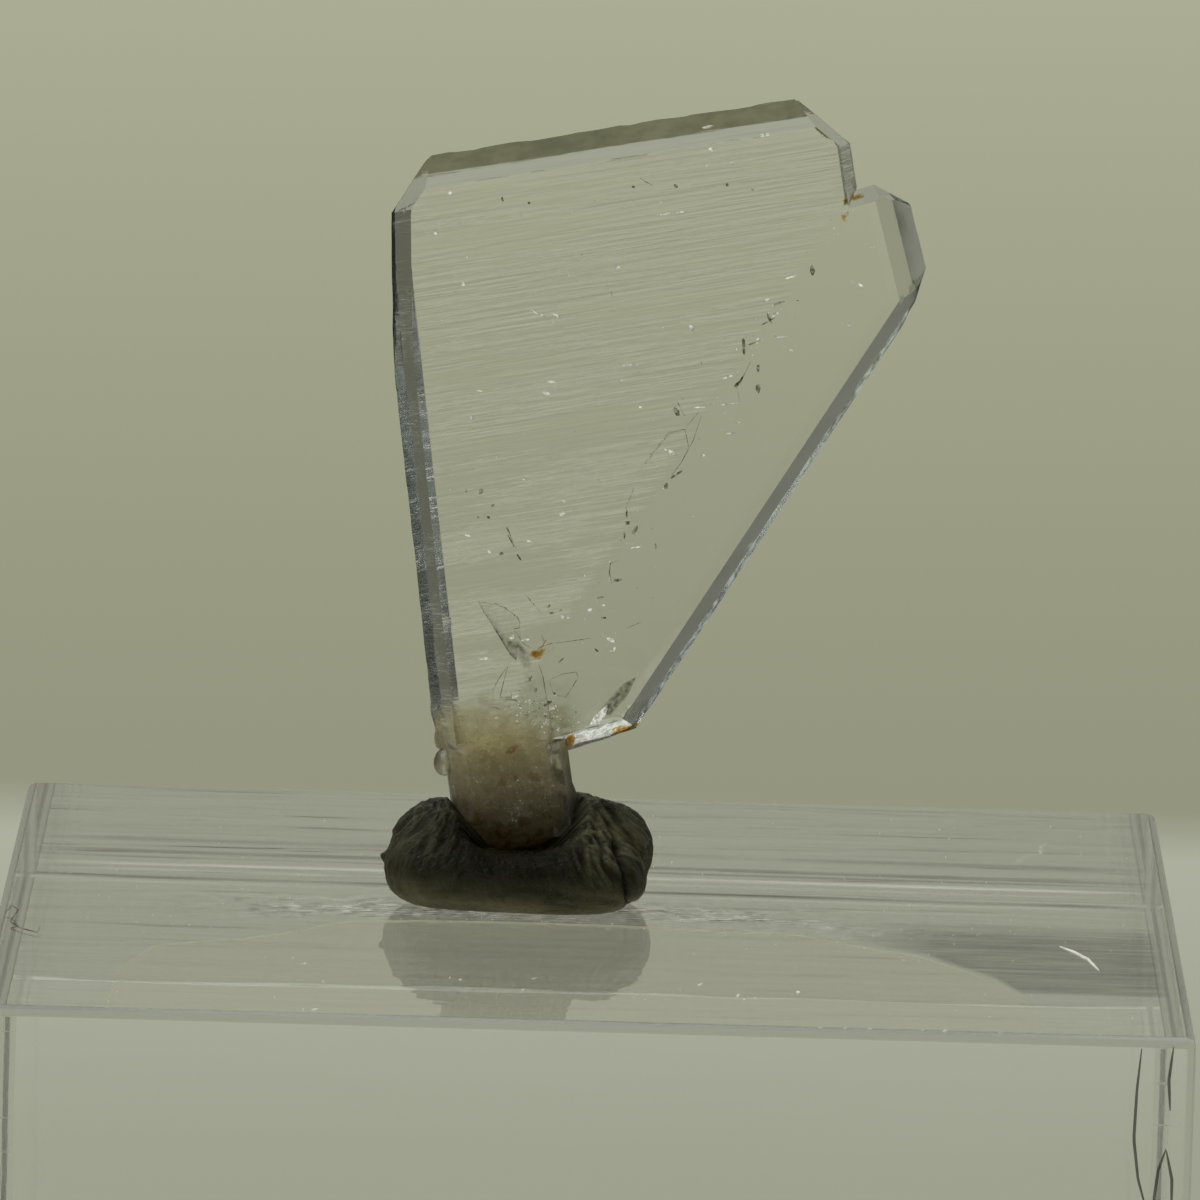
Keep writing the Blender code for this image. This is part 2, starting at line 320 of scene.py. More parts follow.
def putty_relief(skin):
    """How far the putty's skin stands out at each point, and its pale dust there, partly painted light.

    Folds follow the contours of equal depth, as rolled putty tears: noise that is fine along Y
    and long along X and Z. Above, thin ridges fan out below one point, but for a smooth hollow in
    front. A crease runs down the front, pits are bells of noise, and a small tip stands out at
    the left. Dust lies on the ridges, more to the right, partly as painted light, and in swirls on
    the lower skin as painted light from the block below. It is kept out of the hollow and the
    crease as painted shade.
    """
    x, y, z = skin[..., 0], skin[..., 1], skin[..., 2]
    sway = 0.5 * smooth_noise(skin * (0.5, 0.5, 0.5), 3)
    fibre = stacked(x * 0.45, (y + sway * 0.8) * 3.6, z * 0.55)
    folds = layered_noise(fibre, 3, 11)
    deep = np.clip(smooth_noise(fibre * (0.7, 0.45, 0.7), 5) - 0.15, 0, 1)
    lumps = smooth_noise(skin * 0.7, 21)
    bend = 0.35 * smooth_noise(skin * 0.55, 15)
    turn = np.arctan2(x - FAN_X, FAN_Z - z) + 0.1 * bend
    far = np.hypot(x - FAN_X, FAN_Z - z)
    torn = layered_noise(stacked(turn * 24, far * 0.45, (y + bend) * 0.9), 3, 24)
    ridge = np.clip(1 - np.abs(torn) * 1.7, 0, 1)
    upper = np.clip((z - 26.6) / 1.6, 0, 1)
    hollow = np.exp(-((x + 3.4) / 2.9) ** 4 - ((z - 27.9) / 1.5) ** 2) * np.clip(-y / 1.5, 0, 1)
    rough = upper * (1 - 0.8 * hollow) * (1 - 0.6 * np.clip(y / 1.5, 0, 1))
    crease = np.exp(-((x - np.interp(z, CREASE_Z, CREASE_X)) / 0.16) ** 2) * (y < -1.0)
    relief = (0.05 * folds - 0.14 * deep ** 1.5 + 0.12 * lumps
              + 0.025 * layered_noise(skin * 5, 2, 2) + 0.16 * (ridge - 0.5) * rough
              - 0.3 * crease * np.clip((30.4 - z) / 0.8, 0, 1))
    swirl = layered_noise(stacked(x * 0.5, y, (z + 0.3 * np.sin(x * 0.6)) * 2.6), 3, 28)
    right = np.clip((x + 2.0) / 1.8, 0, 1)
    # Pale dust: partly painted light on the upper ridges, painted light from the block below on the lower
    # skin, and left out of the hollow and the crease as painted shade.
    dust = 0.08 + rough * ridge**2 * (0.3 + 0.62 * right)
    dust = dust + np.clip((27.3 - z) / 1.4, 0, 1) * (0.5 + 0.3 * swirl)
    dust = np.clip(dust * (1 - 0.85 * hollow) * (1 - crease), 0, 1)
    rng = np.random.default_rng(12)
    count = 90
    spots = skin.reshape(-1, 3)
    picks = rng.integers(0, x.size, count)
    widths, depths = rng.uniform(0.05, 0.16, count), rng.uniform(0.03, 0.1, count)
    for spot, wide, depth in zip(spots[picks], widths, depths):
        relief -= depth * np.exp(-((skin - spot) ** 2).sum(axis=-1) / wide**2)
    tip = spots[np.argmin((x + 1.5 * np.abs(z - 27.4)).ravel())]
    relief += 0.2 * np.exp(-((skin - tip) ** 2).sum(axis=-1) / 0.22**2)
    return relief, dust


def make_putty():
    """Folded putty: rays from its heart to the joined lobes, then its relief along the normals.

    The relief fades on the seat and where the crystal's foot is pressed in.
    """
    skin = rays_to(PUTTY_HEART, putty_gap, 420, 200, 9.0)
    out = surface_normals(skin)
    relief, dust = putty_relief(skin)
    free = np.clip((skin[..., 2] - SEAT) / 0.5, 0, 1)
    free = free * np.clip((root_gap(skin) - 0.05) / 0.5, 0.12, 1)
    skin = skin + out * (relief * free - 0.05)[..., None]
    skin[..., 2] = np.maximum(skin[..., 2], SEAT)
    rows, columns = skin.shape[:2]
    points = np.vstack((skin.reshape(-1, 3), skin[0].mean(axis=0), skin[-1].mean(axis=0)))
    ring, top = np.arange(columns), rows * columns
    faces = grid_faces(rows, columns).tolist() + fan(ring, top).tolist()
    faces += fan(ring + (rows - 1) * columns, top + 1, flipped=True).tolist()
    lump = put_mesh("mounting_putty_lump", points, faces, putty_clay())
    # Its dust is partly painted light and shade.
    return keep_values(lump, "dust", np.append(dust.ravel(), (0.2, 0.2)))


def beyond_twin_plane(p):
    """How far into the second crystal a plate point is."""
    return (p[..., (0, 2)] - TWIN_POINT) @ TWIN_NORMAL


def uneven_steps(low, high, least, most, seed):
    """Positions from low to high, unevenly spaced as growth steps are."""
    rng = np.random.default_rng(seed)
    gaps = rng.uniform(least, most, int((high - low) / least) + 2)
    places = low + np.cumsum(gaps)
    return places[places < high]


def ragged(along, seed):
    """A broken rim's depth: linear runs between random levels, some of them small notches."""
    rng = np.random.default_rng(seed)
    stops = np.cumsum(rng.uniform(0.12, 0.9, 200)) - 30
    return np.interp(along, stops, rng.uniform(0.0, 1.0, 200) ** 1.7)


def rim_coats(p, out, corners, facing):
    """Coats just inside three rims: their own triangles, set in along the normals.

    The small facet's coat is its own frosted growth. The long side's is matched to that
    rim's bright mottling. The top rim's is no growth: it stands in for light that reflects more
    than 4 times inside the plate, which is lost because make_stage leaves out glossy_bounces.
    """
    centre = p[corners].mean(axis=1)
    second = beyond_twin_plane(centre)
    x, z = centre[:, 0], centre[:, 2]
    flat_facing = facing[:, (0, 2)]
    back_rim = (facing[:, 1] > 0.1) & (facing[:, 1] < 0.97)
    upward = (flat_facing @ LONG_AXIS > 0.2) & (second < -0.2)
    outward = unit(flat_facing) @ TWIN_NORMAL > 0.97
    top_rim = back_rim & upward & (z > 12)
    long_side = back_rim & outward & (z > 8.2) & (second > 0)
    facet = (x > 2.3) & (z < ROOT_TOP) & (facing[:, 2] < -0.3) & (facing[:, 1] < -0.1)
    coats = []
    # The top rim's coat is all painted light; the long side's pale bluish tone and its glow are painted
    # light on its frost.
    for name, chosen, *look in (
            ("top_rim_painted_light", top_rim, "#8f8f72", "#a3a283", (500, 500, 500), 0.8, 0.95, 0.33),
            ("long_side_frost_and_painted_light", long_side, "#6f7a74", "#e6f2ee", (1900, 1900, 1900), 0.2, 0.9, 0.3),
            ("facet_frost", facet, "#7c7a5e", "#dfe6e4", (3800, 3800, 700), 0.0, 0.55, 0.0)):
        used, faces = np.unique(corners[chosen], return_inverse=True)
        inner = p[used] - 0.03 * out[used]
        coats.append(on_plate(name, inner, faces.reshape(-1, 3).tolist(), frost_and_painted_light_coat(name, *look)))
    return coats


def cut_crystal(rows, columns):
    """The CAD crystal's mesh in the plate's frame, cut along its growth lines."""
    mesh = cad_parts["twin_crystal"].data.copy()
    mesh.vertices.foreach_set("co", to_plate(vectors_of(mesh.vertices, "co") / MM).ravel())
    bm = bmesh.new()
    bm.from_mesh(mesh)
    bmesh.ops.remove_doubles(bm, verts=bm.verts[:], dist=0.002)
    bmesh.ops.dissolve_limit(bm, angle_limit=math.radians(0.4), verts=bm.verts[:],
                             edges=bm.edges[:])
    cuts = [(LONG_AXIS, level) for level in rows] + [(SHORT_AXIS, level) for level in columns]
    for axis, level in cuts:
        normal = (axis[0], 0.0, axis[1])
        bmesh.ops.bisect_plane(bm, geom=bm.verts[:] + bm.edges[:] + bm.faces[:], dist=0.004,
                               plane_co=Vector(normal) * level, plane_no=normal)
    bmesh.ops.triangulate(bm, faces=bm.faces[:])
    bm.normal_update()
    bm.to_mesh(mesh)
    bm.free()
    mesh.update()
    return mesh


def grow_lines(p, rows, side, up, across, first):
    """How deep each growth line is cut at each point, from a fixed seed.

    Steps run up the first crystal, differ on its back, and fade unevenly along their length.
    """
    rng = np.random.default_rng(5)
    count = len(rows) + 2
    level = (rng.uniform(0, 1, count) * rng.choice((0.3, 1.0), count, p=(0.7, 0.3)))[: len(rows)]
    steps = np.where(side < 0, np.interp(up, rows, level), np.interp(up, rows, level[::-1]))
    fade = 0.65 + 0.8 * smooth_noise(stacked(across * 0.22, side * 9, up * 0.5), 4)
    slow = smooth_noise(p * (0.9, 0.0, 0.9) + 40 * side[:, None], 9)
    step_depth, waviness = 0.008, 0.002
    return steps * np.clip(fade, 0, 1) * first * step_depth + waviness * (1 + slow)


def make_quartz():
    """The CAD crystal with its relief, and the coats of its rims.

    Across the first crystal's broad faces each growth line steps the face in or out by a few
    microns and fades along its length. Rims are broken back unevenly, by up to 0.11 mm at the
    top and 0.045 mm elsewhere, in full at the rim and not at all where the rim's face meets the
    broad face. The crease behind the first crystal's rims is moved out. The broken root gets noise
    along its normals.
    """
    rows = uneven_steps(6.0, 38.0, 0.1, 0.42, 3)
    mesh = cut_crystal(rows, uneven_steps(-6.0, 22.0, 0.22, 0.5, 4))
    p = vectors_of(mesh.vertices, "co")
    facing = vectors_of(mesh.polygons, "normal")
    corners = np.empty(len(mesh.loops), int)
    mesh.loops.foreach_get("vertex_index", corners)
    least, most = np.ones(len(p)), -np.ones(len(p))
    np.minimum.at(least, corners, np.repeat(facing[:, 1], 3))
    np.maximum.at(most, corners, np.repeat(facing[:, 1], 3))
    out = np.zeros_like(p)
    np.add.at(out, corners, np.repeat(facing, 3, axis=0))
    out = unit(out)
    side = np.sign(out[:, 1])
    up, across = p[:, (0, 2)] @ LONG_AXIS, p[:, (0, 2)] @ SHORT_AXIS
    above_root = np.clip((p[:, 2] - ROOT_TOP) / 0.8, 0, 1)
    first = np.clip(-beyond_twin_plane(p) / 0.6, 0, 1)

    broad = (most < -0.999) | (least > 0.999)
    p[:, 1] -= side * grow_lines(p, rows, side, up, across, first) * broad * above_root

    front, back = (p[:, 1] + HALF_PLATE) / 1.15, (HALF_PLATE - p[:, 1]) / 1.05
    to_rim = np.clip(np.where(side < 0, front, back), 0, 1) * ~broad * above_root
    flatwise = unit(out * (1, 0, 1))
    topward = flatwise[:, (0, 2)] @ LONG_AXIS
    crease = ~broad & (most > 0.999) & (topward > -0.3) & (flatwise[:, 0] > -0.6) & (p[:, 2] > 9)
    p += flatwise * (CREASE_SHIFT * crease * (first > 0))[:, None]
    along = np.where(topward > 0.8, across, up)
    size = np.where(topward > 0.8, 0.11, 0.045)
    p -= flatwise * (to_rim * size * ragged(along, 8))[:, None]

    rough = layered_noise(p * 1.6, 3, 30) * 0.06 + layered_noise(p * 6, 2, 33) * 0.015
    p += out * (rough * (1 - above_root) * (p[:, 2] < 8.3) * ~broad)[:, None]
    mesh.vertices.foreach_set("co", (from_plate(p) * MM).ravel())
    mesh.polygons.foreach_set("use_smooth", np.ones(len(mesh.polygons), bool))
    mesh.update()
    mesh.set_sharp_from_angle(angle=math.radians(11))
    coats = rim_coats(p, out, corners.reshape(-1, 3), facing)
    mesh.name = "quartz_twin"
    mesh.materials.clear()
    mesh.materials.append(quartz_glass())
    return add_object("quartz_twin", mesh), coats


# Flecks on the twin plane and in the first crystal, in the plate: x, y and z of the middle,
# then length, width and the turn of the length up from the plate's x
DARK_FLECKS = (
    (10.04, -0.2, 24.07, 0.64, 0.15, 95), (11.09, -0.6, 25.36, 0.47, 0.13, 115),
    (10.71, 0.1, 23.1, 0.3, 0.13, 90), (10.73, 0.1, 22.23, 0.39, 0.19, 100),
    (9.93, -0.2, 22.59, 0.69, 0.09, 58), (9.76, -0.2, 22.42, 0.3, 0.13, 50),
    (7.18, 0.3, 21.2, 0.43, 0.21, 120), (13.05, 0.4, 27.35, 0.43, 0.19, 95),
    (11.55, -0.4, 25.96, 0.52, 0.09, 20), (11.08, -0.4, 25.17, 0.6, 0.06, 30),
    (10.41, -0.3, 24.21, 0.43, 0.07, 20), (7.21, -0.1, 18.49, 0.52, 0.11, 35),
    (6.78, 0.2, 17.99, 0.3, 0.17, 80), (5.43, 0.0, 16.04, 0.39, 0.17, 60),
    (5.03, -0.3, 16.85, 0.43, 0.08, 92), (5.08, -0.3, 16.37, 0.17, 0.13, 0),
    (4.95, -0.3, 15.85, 0.26, 0.09, 90), (6.33, -0.2, 15.37, 0.26, 0.09, 90),
    (4.65, -0.5, 13.91, 0.39, 0.13, 10), (-1.38, -0.8, 17.77, 0.26, 0.17, 60),
    (-2.01, -0.6, 17.75, 0.17, 0.09, 90), (-0.83, -0.3, 17.12, 0.17, 0.11, 40),
    (-1.43, -0.3, 16.6, 0.13, 0.09, 0), (-0.99, -0.3, 16.6, 0.13, 0.09, 0),
    (-0.18, -0.8, 16.08, 0.3, 0.09, -60), (-0.04, -0.8, 15.61, 0.6, 0.06, -60),
    (0.32, -0.8, 14.91, 0.34, 0.09, -55), (-0.39, -0.2, 15.03, 0.21, 0.13, 0),
    (0.51, -0.9, 30.24, 0.13, 0.11, 0), (-0.64, -0.7, 30.39, 0.21, 0.11, 110),
    (5.05, -0.7, 30.95, 0.13, 0.09, 0), (9.16, -0.6, 31.06, 0.13, 0.13, 0),
    (10.32, -0.2, 30.88, 0.13, 0.09, 0), (6.91, -0.8, 31.02, 0.21, 0.13, -50),
    (8.24, 0.3, 23.33, 0.17, 0.06, 90), (2.27, -0.1, 10.39, 0.34, 0.09, 40),
    (0.12, -0.7, 8.7, 0.52, 0.09, -10), (1.72, -0.5, 8.55, 0.43, 0.13, 35),
    (1.23, 0.1, 9.06, 0.26, 0.13, 80), (0.97, -0.1, 9.6, 0.26, 0.13, 60),
    (3.96, -0.2, 13.14, 0.3, 0.09, 10), (4.12, -0.1, 12.26, 0.21, 0.09, 0),
    (1.7, -0.2, 12.74, 0.21, 0.13, 60), (2.21, -0.3, 12.58, 0.17, 0.09, 30),
    (1.89, -0.1, 12.47, 0.26, 0.09, 20), (3.81, -0.3, 10.85, 0.21, 0.09, -40),
)
AIR_FILMS = (
    (10.94, -0.7, 26.1, 0.3, 0.13, 30), (6.88, -0.8, 19.5, 0.56, 0.13, -25),
    (5.03, -0.8, 23.26, 0.6, 0.09, 4), (7.7, -0.85, 24.88, 0.3, 0.21, -50),
    (9.45, -0.6, 21.58, 0.73, 0.08, 5), (9.52, -0.6, 20.32, 0.39, 0.07, 5),
    (9.29, -0.7, 22.76, 0.47, 0.1, 20), (10.57, -0.7, 24.41, 0.17, 0.13, 30),
    (11.34, -0.7, 25.5, 0.26, 0.17, 30), (12.04, -0.5, 27.1, 0.47, 0.09, 18),
    (8.27, -0.6, 21.44, 0.26, 0.09, 5), (9.79, -0.5, 20.79, 0.17, 0.13, 0),
    (10.73, -0.4, 28.16, 0.17, 0.13, 0), (-2.93, -0.9, 30.64, 0.17, 0.15, 0),
    (-2.31, -0.9, 26.72, 0.17, 0.15, -30), (4.42, -0.6, 27.48, 0.17, 0.13, 0),
    (-3.53, -0.7, 28.86, 0.15, 0.13, 0), (1.64, -0.8, 22.5, 0.39, 0.11, -10),
    (1.26, -0.7, 25.35, 0.34, 0.09, -30), (0.82, -0.7, 25.52, 0.39, 0.07, -35),
    (1.83, -0.7, 25.35, 0.34, 0.11, -35), (-1.47, -0.7, 22.09, 0.3, 0.09, -10),
    (1.39, -0.8, 22.02, 0.3, 0.13, -10), (-1.82, -0.8, 20.92, 0.21, 0.17, 0),
    (2.21, -0.5, 16.76, 0.26, 0.21, 30), (2.24, -0.5, 17.33, 0.17, 0.13, 0),
    (-1.96, -0.8, 15.86, 0.3, 0.11, -25), (0.8, -0.7, 15.6, 0.3, 0.07, 0),
    (-0.99, -0.8, 15.13, 0.34, 0.13, -40), (8.32, -0.2, 19.33, 0.17, 0.11, 0),
    (5.49, -0.3, 15.33, 0.43, 0.07, 10), (3.44, -0.6, 12.61, 0.21, 0.15, 30),
    (2.36, -0.5, 12.29, 0.34, 0.13, -5), (4.46, -0.6, 11.31, 0.39, 0.17, -15),
    (4.51, -0.6, 10.88, 0.3, 0.13, 45), (-0.55, -0.9, 7.94, 0.13, 0.13, 0),
    (0.07, -0.8, 11.44, 0.26, 0.17, 40), (0.65, -0.7, 11.31, 0.34, 0.11, 10),
    (-1.11, -0.6, 10.47, 0.3, 0.13, 10), (0.28, -0.8, 8.88, 0.21, 0.13, 20),
    (2.14, -0.8, 7.41, 0.17, 0.13, 0), (4.06, -0.5, 12.82, 0.13, 0.09, 0),
    (14.33, -0.7, 29.9, 0.21, 0.17, 70), (14.6, -0.3, 25.02, 0.13, 0.09, 0),
    (6.47, -0.95, 29.81, 0.69, 0.09, 8), (7.21, -0.95, 29.9, 0.52, 0.08, 8),
    (8.26, -0.8, 33.58, 0.43, 0.13, 10), (10.76, -0.8, 33.21, 0.34, 0.11, 5),
    (8.41, -0.8, 32.63, 0.21, 0.17, 20), (9.32, -0.9, 31.99, 0.17, 0.15, 0),
    (8.2, -0.8, 31.89, 0.13, 0.13, 0), (15.57, -0.5, 28.42, 0.21, 0.06, 5),
    (15.05, -0.6, 26.78, 0.21, 0.13, -20), (9.1, -0.6, 24.44, 0.17, 0.06, 5),
    (11.63, -0.6, 24.5, 0.52, 0.05, 6), (12.1, -0.5, 23.93, 0.17, 0.09, -20),
    (4.62, -0.7, 22.6, 0.21, 0.13, 0), (5.51, -0.7, 21.43, 0.13, 0.09, 0),
    (8.07, -0.5, 21.43, 0.3, 0.06, 5),
)
# Healed cracks: the depth of each edge in the plate, then its x and z
CRACK_EDGES = (
    (-0.1, ((5.55, 18.61), (6.28, 19.57), (6.83, 20.27), (7.53, 20.45), (7.72, 19.67),
            (7.59, 19.54))),
    (-0.2, ((6.93, 21.58), (7.19, 21.62), (7.51, 21.02))),
    (-0.1, ((7.53, 20.45), (7.83, 20.84), (8.13, 21.19))),
    (0.2, ((8.27, 20.99), (7.93, 19.95), (7.42, 18.99), (6.91, 18.29))),
    (-0.2, ((5.33, 17.88), (5.16, 17.45), (5.04, 17.14))),
    (-0.2, ((10.36, 23.42), (10.02, 22.73), (9.72, 22.42))),
    (-0.3, ((9.75, 22.38), (9.89, 21.65))),
    (-0.3, ((4.36, 14.76), (4.32, 14.24), (4.42, 13.72))),
    (-0.3, ((4.67, 14.76), (4.36, 14.63), (4.28, 14.11))),
    (-0.4, ((10.4, 24.22), (10.75, 24.35))),
    (-0.8, ((5.33, 31.35), (5.6, 31.18), (5.86, 31.05))),
    (-0.8, ((-0.18, 16.17), (0.0, 15.65), (0.18, 15.3))),
    (-0.8, ((0.56, 13.35), (0.83, 13.05), (1.05, 12.79))),
    (-0.8, ((1.0, 12.88), (1.27, 12.53))),
    (-0.75, ((-1.43, 12.95), (-1.08, 12.91), (-0.65, 12.87), (-0.29, 12.74), (0.01, 12.52),
            (0.32, 12.26), (0.41, 12.05), (0.37, 11.83), (0.16, 11.79))),
    (-0.55, ((-1.36, 12.89), (-1.14, 12.5), (-0.87, 12.11), (-0.56, 11.59), (-0.2, 11.07),
            (0.03, 10.64))),
    (-0.6, ((0.18, 11.69), (0.4, 11.43), (0.62, 11.12), (0.89, 10.99))),
    (-0.75, ((-0.08, 10.18), (-0.25, 9.57), (-0.41, 8.83), (-0.06, 8.79), (0.24, 8.88))),
    (-0.8, ((-0.13, 10.14), (-0.47, 9.66), (-0.73, 9.14), (-0.72, 8.66))),
    (-0.6, ((1.74, 9.56), (2.3, 9.83), (2.91, 9.92), (3.0, 9.7), (2.7, 9.18), (2.45, 8.83),
            (1.92, 8.96), (1.74, 9.56))),
    (-0.9, ((-0.86, 8.37), (-0.55, 8.37), (-0.29, 8.24))),
    (-0.5, ((1.37, 11.55), (1.51, 11.2), (1.34, 10.86))),
    (-0.5, ((1.04, 10.64), (1.34, 10.99), (1.81, 11.16), (2.34, 11.21))),
    (-0.5, ((2.34, 11.21), (2.95, 11.3), (3.51, 11.39))),
    (-0.8, ((5.08, 11.85), (5.38, 11.98), (5.69, 12.11))),
)
# The healed crack's veil hangs between these two edges
FLAME_TOP = ((-1.43, -0.75, 12.95), (-1.08, -0.75, 12.91), (-0.65, -0.75, 12.87),
             (-0.29, -0.73, 12.74), (0.01, -0.7, 12.52), (0.32, -0.68, 12.26), (0.41, -0.65, 12.0),
             (0.5, -0.6, 11.5))
FLAME_FOOT = ((-1.43, -0.75, 12.93), (-1.14, -0.55, 12.5), (-0.87, -0.55, 12.11),
              (-0.56, -0.5, 11.59), (-0.3, -0.45, 11.15), (-0.1, -0.4, 10.85), (0.03, -0.4, 10.64),
              (0.3, -0.4, 10.4))
# A growth edge in front, above the root: its depth, then its x and z
EDGE_LINE = (-0.98, ((1.24, 10.25), (1.42, 9.77), (1.56, 9.03), (1.75, 8.08), (1.88, 7.3)))


def on_plate(name, points, faces, material):
    """A piece whose points are given in the plate's frame."""
    return put_mesh(name, from_plate(np.asarray(points).reshape(-1, 3)), faces, material)


def at_depth(depth, path):
    """A path's x and z in the plate, at one depth."""
    return [(x, depth, z) for x, z in path]


def resampled(path, count):
    """A path cut into points at even shares of its own points, straight between them."""
    stops, own = np.linspace(0, 1, count), np.linspace(0, 1, len(path))
    return stacked(*(np.interp(stops, own, axis) for axis in np.array(path).T))


def lens_flakes(name, spots, material, thick=0.02, lean=0.0, seed=1, facing=None):
    """Thin closed lenses: an uneven rim of eight points and a peak on either side.

    Each lies flat in the plate, turned to its own angle, then leans about its length. With a
    facing they lie square to that direction instead, but for a few degrees.
    """
    rng = np.random.default_rng(seed)
    spots = np.asarray(spots, float)
    count, corners = len(spots), 8
    turn = np.radians(spots[:, 5])
    tip = np.radians(lean) * rng.uniform(-1, 1, count)
    along = stacked(np.cos(turn), 0.0, np.sin(turn))
    across = stacked(-np.sin(turn) * np.cos(tip), np.sin(tip), np.cos(turn) * np.cos(tip))
    if facing is not None:
        normal = unit(np.asarray(facing) + 0.07 * rng.standard_normal((count, 3)))
        along[:, 1] = -(along * normal).sum(axis=1) / normal[:, 1]
        along = unit(along)
        across = np.cross(normal, along)
    through = unit(np.cross(along, across))
    corner = (np.arange(corners) * np.pi / 4)[None, :, None]
    length, width = spots[:, 3, None, None], spots[:, 4, None, None]
    rim = along[:, None] * np.cos(corner) * length + across[:, None] * np.sin(corner) * width
    rim = rim / 2 * rng.uniform(0.65, 1.1, (count, corners, 1))
    peaks = through[:, None] * np.array((1.0, -1.0))[None, :, None] * thick / 2
    points = spots[:, None, :3] + np.concatenate((rim, peaks), axis=1)
    ring = np.arange(corners)
    fans = np.vstack((fan(ring, corners + 1), fan(ring, corners, flipped=True)))
    faces = (fans[None] + (corners + 2) * np.arange(count)[:, None, None]).reshape(-1, 3)
    return on_plate(name, points, faces.tolist(), material)


def fine_threads(name, paths, radius, material):
    """Closed tubes carried along paths: a ring at each of their points, thinned to the ends."""
    points, faces, start = [], [], 0
    sides = 5
    around = (np.arange(sides) * 2 * np.pi / sides)[None, :, None]
    ring = np.arange(sides)
    for path in paths:
        path = np.asarray(path, float)
        rows = len(path)
        ahead = unit(np.gradient(path, axis=0))
        aside = unit(np.cross(ahead, (0.31, 0.9, 0.3)))
        over = np.cross(ahead, aside)
        size = radius * np.sin(np.linspace(0.12, np.pi - 0.12, rows)) ** 0.5
        circle = aside[:, None] * np.cos(around) + over[:, None] * np.sin(around)
        points += [(path[:, None] + size[:, None, None] * circle).reshape(-1, 3), path[:1], path[-1:]]
        last, tip = start + (rows - 1) * sides, start + rows * sides
        faces += (grid_faces(rows, sides)[:, ::-1] + start).tolist()
        faces += fan(start + ring, tip).tolist() + fan(last + ring, tip + 1, flipped=True).tolist()
        start = tip + 2
    return on_plate(name, np.vstack(points), faces, material)


def shaded_sheet(name, grids, films, material):
    """Open sheets from grids of plate points, with how thick each point's film is, 0 to 1."""
    faces, start = [], 0
    for rows, columns, _ in (grid.shape for grid in grids):
        faces.append(grid_faces(rows, columns, False) + start)
        start += rows * columns
    points = np.vstack([grid.reshape(-1, 3) for grid in grids])
    made = on_plate(name, points, np.vstack(faces).tolist(), material)
    return keep_values(made, "film", np.concatenate([film.ravel() for film in films]))


def between(edge_a, edge_b, rows, columns, bulge):
    """A grid from one edge curve to another, bulged through the plate half way."""
    down = np.linspace(0, 1, rows)[:, None, None]
    grid = resampled(edge_a, columns) * (1 - down) + resampled(edge_b, columns) * down
    grid[..., 1] += bulge * np.sin(down[..., 0] * np.pi)
    return grid


def ramps(rows, columns):
    """Shares from 0 to 1 down the rows and along the columns of a grid."""
    return np.meshgrid(np.linspace(0, 1, rows), np.linspace(0, 1, columns), indexing="ij")


def edge_fade(share, slope):
    """1 in the middle of a share from 0 to 1, falling to 0 at both its ends."""
    return np.clip(np.minimum(share, 1 - share) * slope, 0, 1)


ROOT_HEIGHTS = (2.35, 2.7, 3.3, 4.2, 5.2, 6.2, 7.0, 8.0, 9.0, 10.2)
# The root's left and right sides and half its depth, at each of those heights in the plate
ROOT_LEFT = (-0.3, -1.1, -1.6, -2.0, -2.15, -2.2, -2.25, -2.75, -2.85, -2.9)
ROOT_RIGHT = (1.3, 1.9, 2.4, 2.5, 2.0, 1.85, 1.75, 1.75, 1.6, 1.4)
ROOT_HALF = (0.35, 0.75, 1.05, 1.25, 1.3, 1.25, 1.05, 0.85, 0.85, 0.85)


def across_root(z, share):
    """The x at a share of the root's width, at each height."""
    left, right = np.interp(z, ROOT_HEIGHTS, ROOT_LEFT), np.interp(z, ROOT_HEIGHTS, ROOT_RIGHT)
    return left * (1 - share) + right * share


def upright_cloud(index, level):
    """A wavy sheet that spans the root's height at one depth, and its film.

    The film thins towards the clear quartz above, sooner on the right than on the left, and slow
    noise gives it a ragged, drifting upper edge. It is thicker at the foot, with one hole.
    """
    z, share = np.meshgrid(np.linspace(2.35, 10.2, 84), np.linspace(0, 1, 60), indexing="ij")
    x = across_root(z, share)
    wave = smooth_noise(stacked(x * 0.8, z * 0.8, 3.7 * index), 50)
    y = np.clip(level + 0.16 * wave, -1, 1) * np.interp(z, ROOT_HEIGHTS, ROOT_HALF)
    grid = stacked(x, y - 0.1, z)
    drift = 0.9 * layered_noise(grid * 0.55, 3, 60)
    reach = 9.1 - 0.5 * np.maximum(x + 1.0, 0) - 0.5 * np.abs(y) + drift
    film = np.clip((reach - z) / 2.2, 0, 1) ** 1.3 * (1 + 0.9 * np.clip((4.6 - z) / 1.8, 0, 1))
    hole = 0.75 * np.exp(-((x - 2.1) ** 2 + (z - 4.6) ** 2) / 0.3)
    return grid, film * (edge_fade(share, 12) * (1 - hole))


def level_cloud(index, level):
    """A wavy sheet that spans the root's width and depth at one height, and its film."""
    share, deep = np.meshgrid(np.linspace(0.03, 0.97, 50), np.linspace(-0.95, 0.95, 30))
    x = across_root(level, share)
    y = deep * np.interp(level, ROOT_HEIGHTS, ROOT_HALF) - 0.1
    z = level + 0.5 * layered_noise(stacked(x * 0.8, y * 0.8, 5.3 * index), 2, 64)
    film = np.clip((9.3 - 0.5 * np.maximum(x + 1.0, 0) - z) / 1.6, 0, 1)
    film *= edge_fade(share, 10) * np.clip((1 - np.abs(deep)) * 5, 0, 1)
    return stacked(x, y, z), film


def make_root_cloud():
    """Milky growth in the root: wavy sheets stacked through its depth and its height."""
    sheets = [upright_cloud(*sheet) for sheet in enumerate(np.linspace(-1, 1, 10))]
    sheets += [level_cloud(*sheet) for sheet in enumerate(np.linspace(3.3, 8.1, 8))]
    return shaded_sheet("milky_root_growth", *zip(*sheets), milky_growth())


